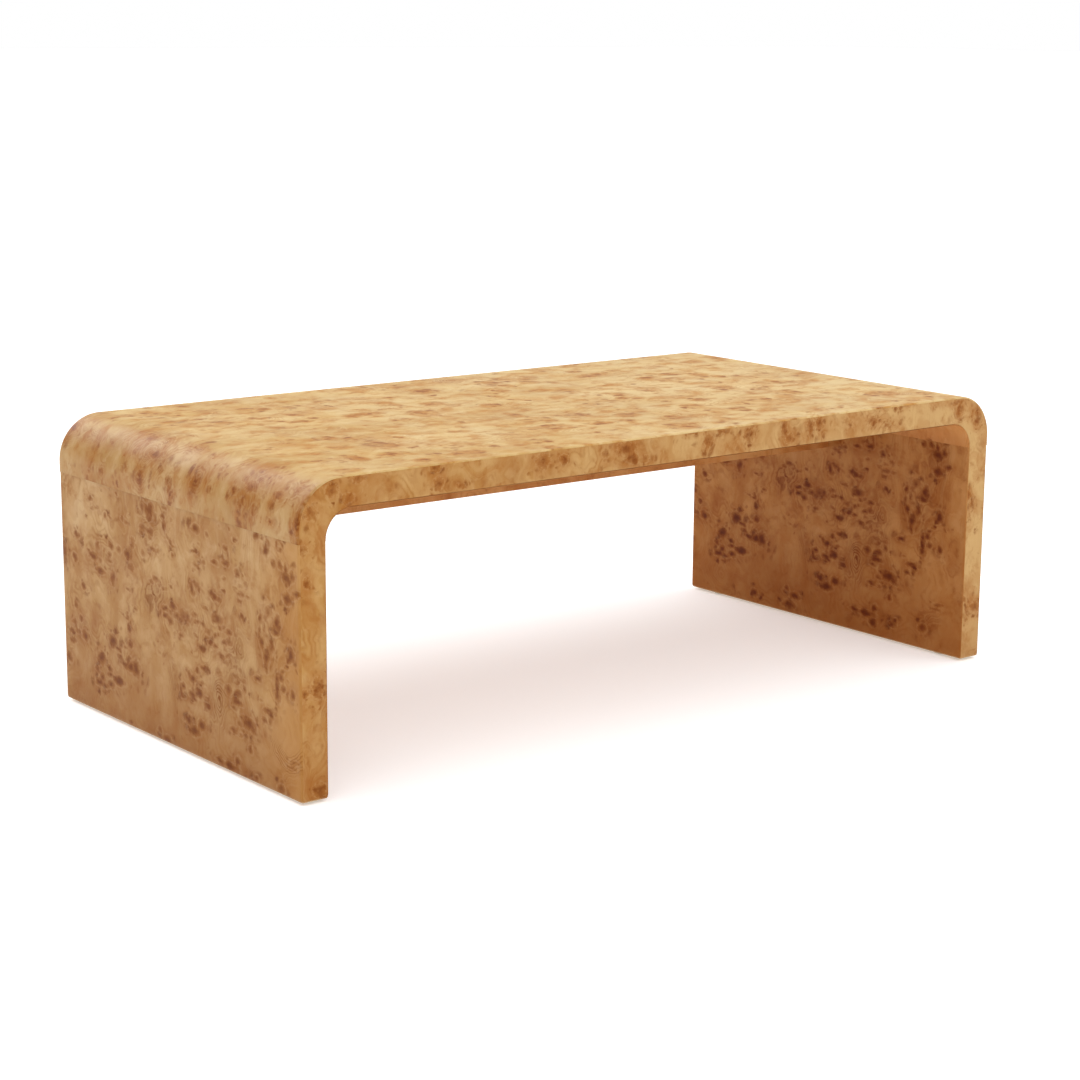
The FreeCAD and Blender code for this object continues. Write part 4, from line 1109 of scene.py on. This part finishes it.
def leg_strip(name, side, face, node_name):
    near = inner_wall + veneer
    far = leg_face - FACE_EASE
    sizes = leaf_sizes(0.0, leg_reach, far - near, FINE_STEP, edge_burl, **{
        "Flat Run": leg_drop, "Bend Radius": FOOT_BEND, "Tuck": 1.0, "Rows": LEG_ROWS,
        "Origin": (side * (near + far) / 2, face * half_depth, joint_height), "Run Way": (0, 0, -1),
        "Fall Way": (0, -face, 0), "Width Way": (-face, 0, 0)})
    return finish_strip(run_tree(rolled_leaf, name, sizes, veneer), face, node_name)


print("a leg strip with its rolled foot is", round(leg_reach, 4), "m long")

# %% [markdown]
# The strip of a corner lies between two curves that don't share a centre, so it is drawn as a net of
# points between them, in plain mesh code.

# %% Corner edge strips
CORNER_ROWS = 41
CORNER_COLUMNS = 9


def net_piece(name, first, second, columns, finish, flip):
    rows = len(first)
    share = np.linspace(0, 1, columns)[None, :, None]
    net = first[:, None, :] * (1 - share) + second[:, None, :] * share
    quads = []
    for row in range(rows - 1):
        for column in range(columns - 1):
            corner = row * columns + column
            quad = (corner, corner + columns, corner + columns + 1, corner + 1)
            quads.append(quad[::-1] if flip else quad)
    mesh = bpy.data.meshes.new(name)
    mesh.from_pydata(net.reshape(-1, 3).tolist(), [], quads)
    mesh.materials.append(finish)
    piece = add_object(name, mesh)
    thicken(piece, veneer)
    return keep_mesh(piece)


def corner_outer_line(count):
    inside = corner_radius - FACE_EASE
    lead = flat_run - top_joint
    tail = table_height - corner_radius - joint_height
    arc = inside * math.pi / 2
    line = []
    for gone in np.linspace(0, lead + arc + tail, count):
        angle = min(max(gone - lead, 0), arc) / inside
        x = top_joint + min(gone, lead) + inside * math.sin(angle)
        sunk = inside * (1 - math.cos(angle)) + max(gone - lead - arc, 0)
        line.append((x, table_height - FACE_EASE - sunk))
    return np.array(line)


def corner_inner_line(count):
    outside = cove_radius + veneer
    angle = np.linspace(0, math.pi / 2, count)
    return np.stack([top_joint + outside * np.sin(angle), joint_height + outside * np.cos(angle)], axis=1)


def corner_strip(name, side, face, node_name):
    level = np.full(CORNER_ROWS, face * half_depth)
    lines = []
    for line in (corner_outer_line(CORNER_ROWS), corner_inner_line(CORNER_ROWS)):
        lines.append(np.stack([line[:, 0] * side, level, line[:, 1]], axis=1))
    piece = net_piece(name, *lines, CORNER_COLUMNS, edge_burl, side * face < 0)
    return finish_strip(piece, face, node_name)


for edge, face in (("front", -1), ("rear", 1)):
    straight_strip(f"top_{edge}_edge", face, f"top_{edge}_edge_veneer")
    for word, side in (("left", -1), ("right", 1)):
        leg_strip(f"{word}_leg_{edge}_edge", side, face, f"{word}_leg_{edge}_edge_veneer")
        corner_strip(f"{word}_corner_{edge}_edge", side, face, f"{word}_corner_{edge}_edge_veneer")

# %% [markdown]
# The centre rail keeps the top from sagging. Its two faces are cut to the coves at their upper ends, so
# they are nets too, between the straight lower edge and the upper edge with its rounded ends. They borrow
# the edge strips' notes, slipped along, so that no two pieces side by side show the same marks.

# %% Centre rail
RAIL_CUT_ROOM = 1 * MM
RAIL_CUT_POINTS = 17
RAIL_POINTS = 178
RAIL_COLUMNS = 14
RAIL_SLIP = (0.13, 0.05)
RAIL_FOOT_SLIP = 0.385
lower_low, lower_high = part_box("centre_rail_lower_veneer")


def rail_face(name, face, node_name):
    low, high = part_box(node_name)
    cut = cove_radius + RAIL_CUT_ROOM
    stations = np.concatenate([
        -high.x + cut * (1 - np.cos(np.linspace(0, math.pi / 2, RAIL_CUT_POINTS))),
        np.linspace(-high.x + cut, high.x - cut, RAIL_POINTS)[1:-1],
        high.x - cut * (1 - np.cos(np.linspace(math.pi / 2, 0, RAIL_CUT_POINTS)))])
    into = np.maximum(np.abs(stations) - (high.x - cut), 0)
    upper = high.z - cut + np.sqrt(np.maximum(cut * cut - into * into, 0))
    level = np.full_like(stations, low.y if face < 0 else high.y)
    above = np.stack([stations, level, upper], axis=1)
    below = np.stack([stations, level, np.full_like(stations, low.z)], axis=1)
    piece = net_piece(name, below, above, RAIL_COLUMNS, rail_burl, face > 0)
    points = points_of(piece)
    draw_figure(piece, points[:, 0] * face + RAIL_SLIP[0], points[:, 2] + RAIL_SLIP[1],
                EDGE_EYES, EDGE_STAINS)
    return settle(piece, "burl_veneer", node_name)


rail_face("centre_rail_front", -1, "centre_rail_front_veneer")
rail_face("centre_rail_rear", 1, "centre_rail_rear_veneer")
rail_foot = run_tree(rolled_leaf, "centre_rail_lower", leaf_sizes(
    lower_low.x, lower_high.x, lower_high.y - lower_low.y, PLAIN_STEP, rail_burl, **{
        "Origin": (0, 0, lower_low.z), "Run Way": (1, 0, 0), "Fall Way": (0, 0, 1), "Width Way": (0, -1, 0),
        "Ease": RAIL_EASE}), veneer)
foot_points = points_of(rail_foot)
draw_figure(rail_foot, foot_points[:, 0], foot_points[:, 1] + RAIL_FOOT_SLIP, EDGE_EYES, EDGE_STAINS)
settle(rail_foot, "burl_veneer", "centre_rail_lower_veneer")
print("rail", len(rail_foot.data.polygons), "faces on its lower edge")

# %% [markdown]
# Each leg stands on two small nylon glides, moulded round a nail. The nails are hidden in the foot and
# stay as they are. A pad is a disc that is drawn up in steps, each a little wider or narrower than the
# last, so its edges are rounded, and its sole has a shallow dimple as moulded glides have. Geometry
# Nodes is the tool for both: Extrude Mesh draws the steps, and Instance on Points sets the four copies.
# Each step is a lift in millimetres and a scale.

# %% Finish of the glides and nails
def speckled_finish(name, light, dark, scale, roughness, metallic=0.0):
    finish, tree, shader = new_finish(name, {"Metallic": metallic})
    place = node(tree, "ShaderNodeTexCoord").outputs["Object"]
    speck = noise(tree, place, scale, 4)
    tree.links.new(colour_steps(tree, speck, [(0.35, dark), (0.65, light)]), shader.inputs["Base Color"])
    uneven = between(tree, speck, 0.3, 0.7, roughness - 0.06, roughness + 0.06)
    tree.links.new(uneven, shader.inputs["Roughness"])
    add_bump(tree, shader, speck, 0.15, 0.3 * MM)
    return finish


nylon = speckled_finish("warm white nylon", tone(226, 220, 206), tone(208, 200, 184), 300, 0.5)
steel = speckled_finish("nail steel", tone(176, 174, 170), tone(138, 136, 132), 900, 0.35, 1.0)
print("glide finishes", nylon.name, steel.name)

# %% The glide's node tree
GLIDE_INPUTS = [
    ("Sole Radius", "NodeSocketFloat"), ("Across", "NodeSocketFloat"), ("Deep", "NodeSocketFloat"),
    ("Finish", "NodeSocketMaterial"),
]
PAD_SIDES = 40
MERGE_REACH = 0.01 * MM
PAD_STEPS = [(0.2, 1.045), (0.3, 1.028), (0.5, 1.012), (1.6, 1.0), (0.25, 0.990), (0.15, 0.970)]
DIMPLE_STEPS = [(0.0, 0.62), (0.25, 0.92), (0.15, 0.80)]


def drawn_steps(tree, shape, steps, way):
    selected = None
    for lift, scale in steps:
        feeds = {"Mesh": shape, "Offset Scale": way * lift * MM, "Individual": False}
        if selected is not None:
            feeds["Selection"] = selected
        drawn = node(tree, "GeometryNodeExtrudeMesh", feeds, mode="FACES").outputs
        sized = node(tree, "GeometryNodeScaleElements",
                     {"Geometry": drawn["Mesh"], "Selection": drawn["Top"], "Scale": scale})
        shape, selected = sized.outputs["Geometry"], drawn["Top"]
    return shape


def glide_tree():
    tree, given = start_tree("nail-on glides", GLIDE_INPUTS)
    disc = node(tree, "GeometryNodeMeshCircle", {"Vertices": PAD_SIDES, "Radius": given["Sole Radius"]},
                fill_type="NGON")
    sole = node(tree, "GeometryNodeFlipFaces", {"Mesh": disc.outputs["Mesh"]})
    pad = node(tree, "GeometryNodeJoinGeometry")
    tree.links.new(drawn_steps(tree, sole.outputs["Mesh"], DIMPLE_STEPS, -1), pad.inputs["Geometry"])
    tree.links.new(drawn_steps(tree, disc.outputs["Mesh"], PAD_STEPS, 1), pad.inputs["Geometry"])
    whole = node(tree, "GeometryNodeMergeByDistance", {"Geometry": pad.outputs["Geometry"],
                                                       "Distance": MERGE_REACH})
    spots = node(tree, "GeometryNodeMeshGrid", {"Size X": given["Across"], "Size Y": given["Deep"],
                                                "Vertices X": 2, "Vertices Y": 2})
    copies = node(tree, "GeometryNodeInstanceOnPoints", {"Points": spots.outputs["Mesh"],
                                                         "Instance": whole.outputs["Geometry"]})
    end_tree(tree, copies.outputs["Instances"], given["Finish"])
    return tree


print("a pad is drawn", round(sum(lift for lift, scale in PAD_STEPS), 2), "mm high")

# %% Glides
NAIL_WIDTH = 2.4 * MM
SOLE_SHARE = 0.92
pad_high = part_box("glide_pads")[1]
nail_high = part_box("glide_nails")[1]
pad_radius = (pad_high.x - nail_high.x) + NAIL_WIDTH / 2
glides = run_tree(glide_tree(), "foot_glides", {
    "Sole Radius": pad_radius * SOLE_SHARE, "Across": 2 * (pad_high.x - pad_radius),
    "Deep": 2 * (pad_high.y - pad_radius), "Finish": nylon})
settle(glides, "nylon", "glide_pads")
print("glides", len(glides.data.polygons), "faces, pad radius", round(pad_radius, 4))

# %% [markdown]
# The hidden timber: plywood skins and tongues with their layers, poplar frames with straight grain and
# beech dowels. Only their ends under the feet can be seen, but a part that is opened up in a library
# should show wood everywhere. They keep their CAD shape and read Object coordinates.

# %% Timber finishes for the CAD pieces
def timber_finish(name, light, dark, across_scale, along_scale, layers=0.0):
    finish, tree, shader = new_finish(name)
    place = node(tree, "ShaderNodeTexCoord").outputs["Object"]
    grain = noise(tree, node(tree, "ShaderNodeMapping", {
        "Vector": place, "Scale": (along_scale, across_scale, across_scale)}).outputs["Vector"], 1, 5, 0.6)
    colour = colour_steps(tree, grain, [(0.30, dark), (0.70, light)])
    if layers:
        ply = node(tree, "ShaderNodeTexWave", {"Vector": place, "Scale": layers, "Distortion": 0.4},
                   wave_type="BANDS", bands_direction="X")
        colour = blend_colour(tree, times(tree, ply.outputs["Fac"], 0.35), colour, dark)
    tree.links.new(colour, shader.inputs["Base Color"])
    tree.links.new(between(tree, grain, 0.3, 0.7, 0.6, 0.75), shader.inputs["Roughness"])
    add_bump(tree, shader, grain, 0.2, 0.5 * MM)
    return finish


plywood = timber_finish("birch plywood", tone(206, 172, 124), tone(168, 128, 84), 260, 18, 110)
poplar = timber_finish("poplar frame", tone(204, 180, 134), tone(176, 146, 98), 190, 9)
beech = timber_finish("beech dowel", tone(208, 164, 120), tone(180, 132, 88), 320, 24)
BY_SLOT = {"plywood": plywood, "frame_timber": poplar, "beech": beech, "nylon": nylon, "nail_steel": steel,
           "burl_veneer": leg_burl}
slot_of = {part["node"]: part["material_slot"] for part in frame["record"]["subparts"]}
for name, piece in frame["nodes"].items():
    piece.data.materials.clear()
    piece.data.materials.append(BY_SLOT[slot_of[name]])
print("finishes given by slot:", sorted(set(slot_of.values())))
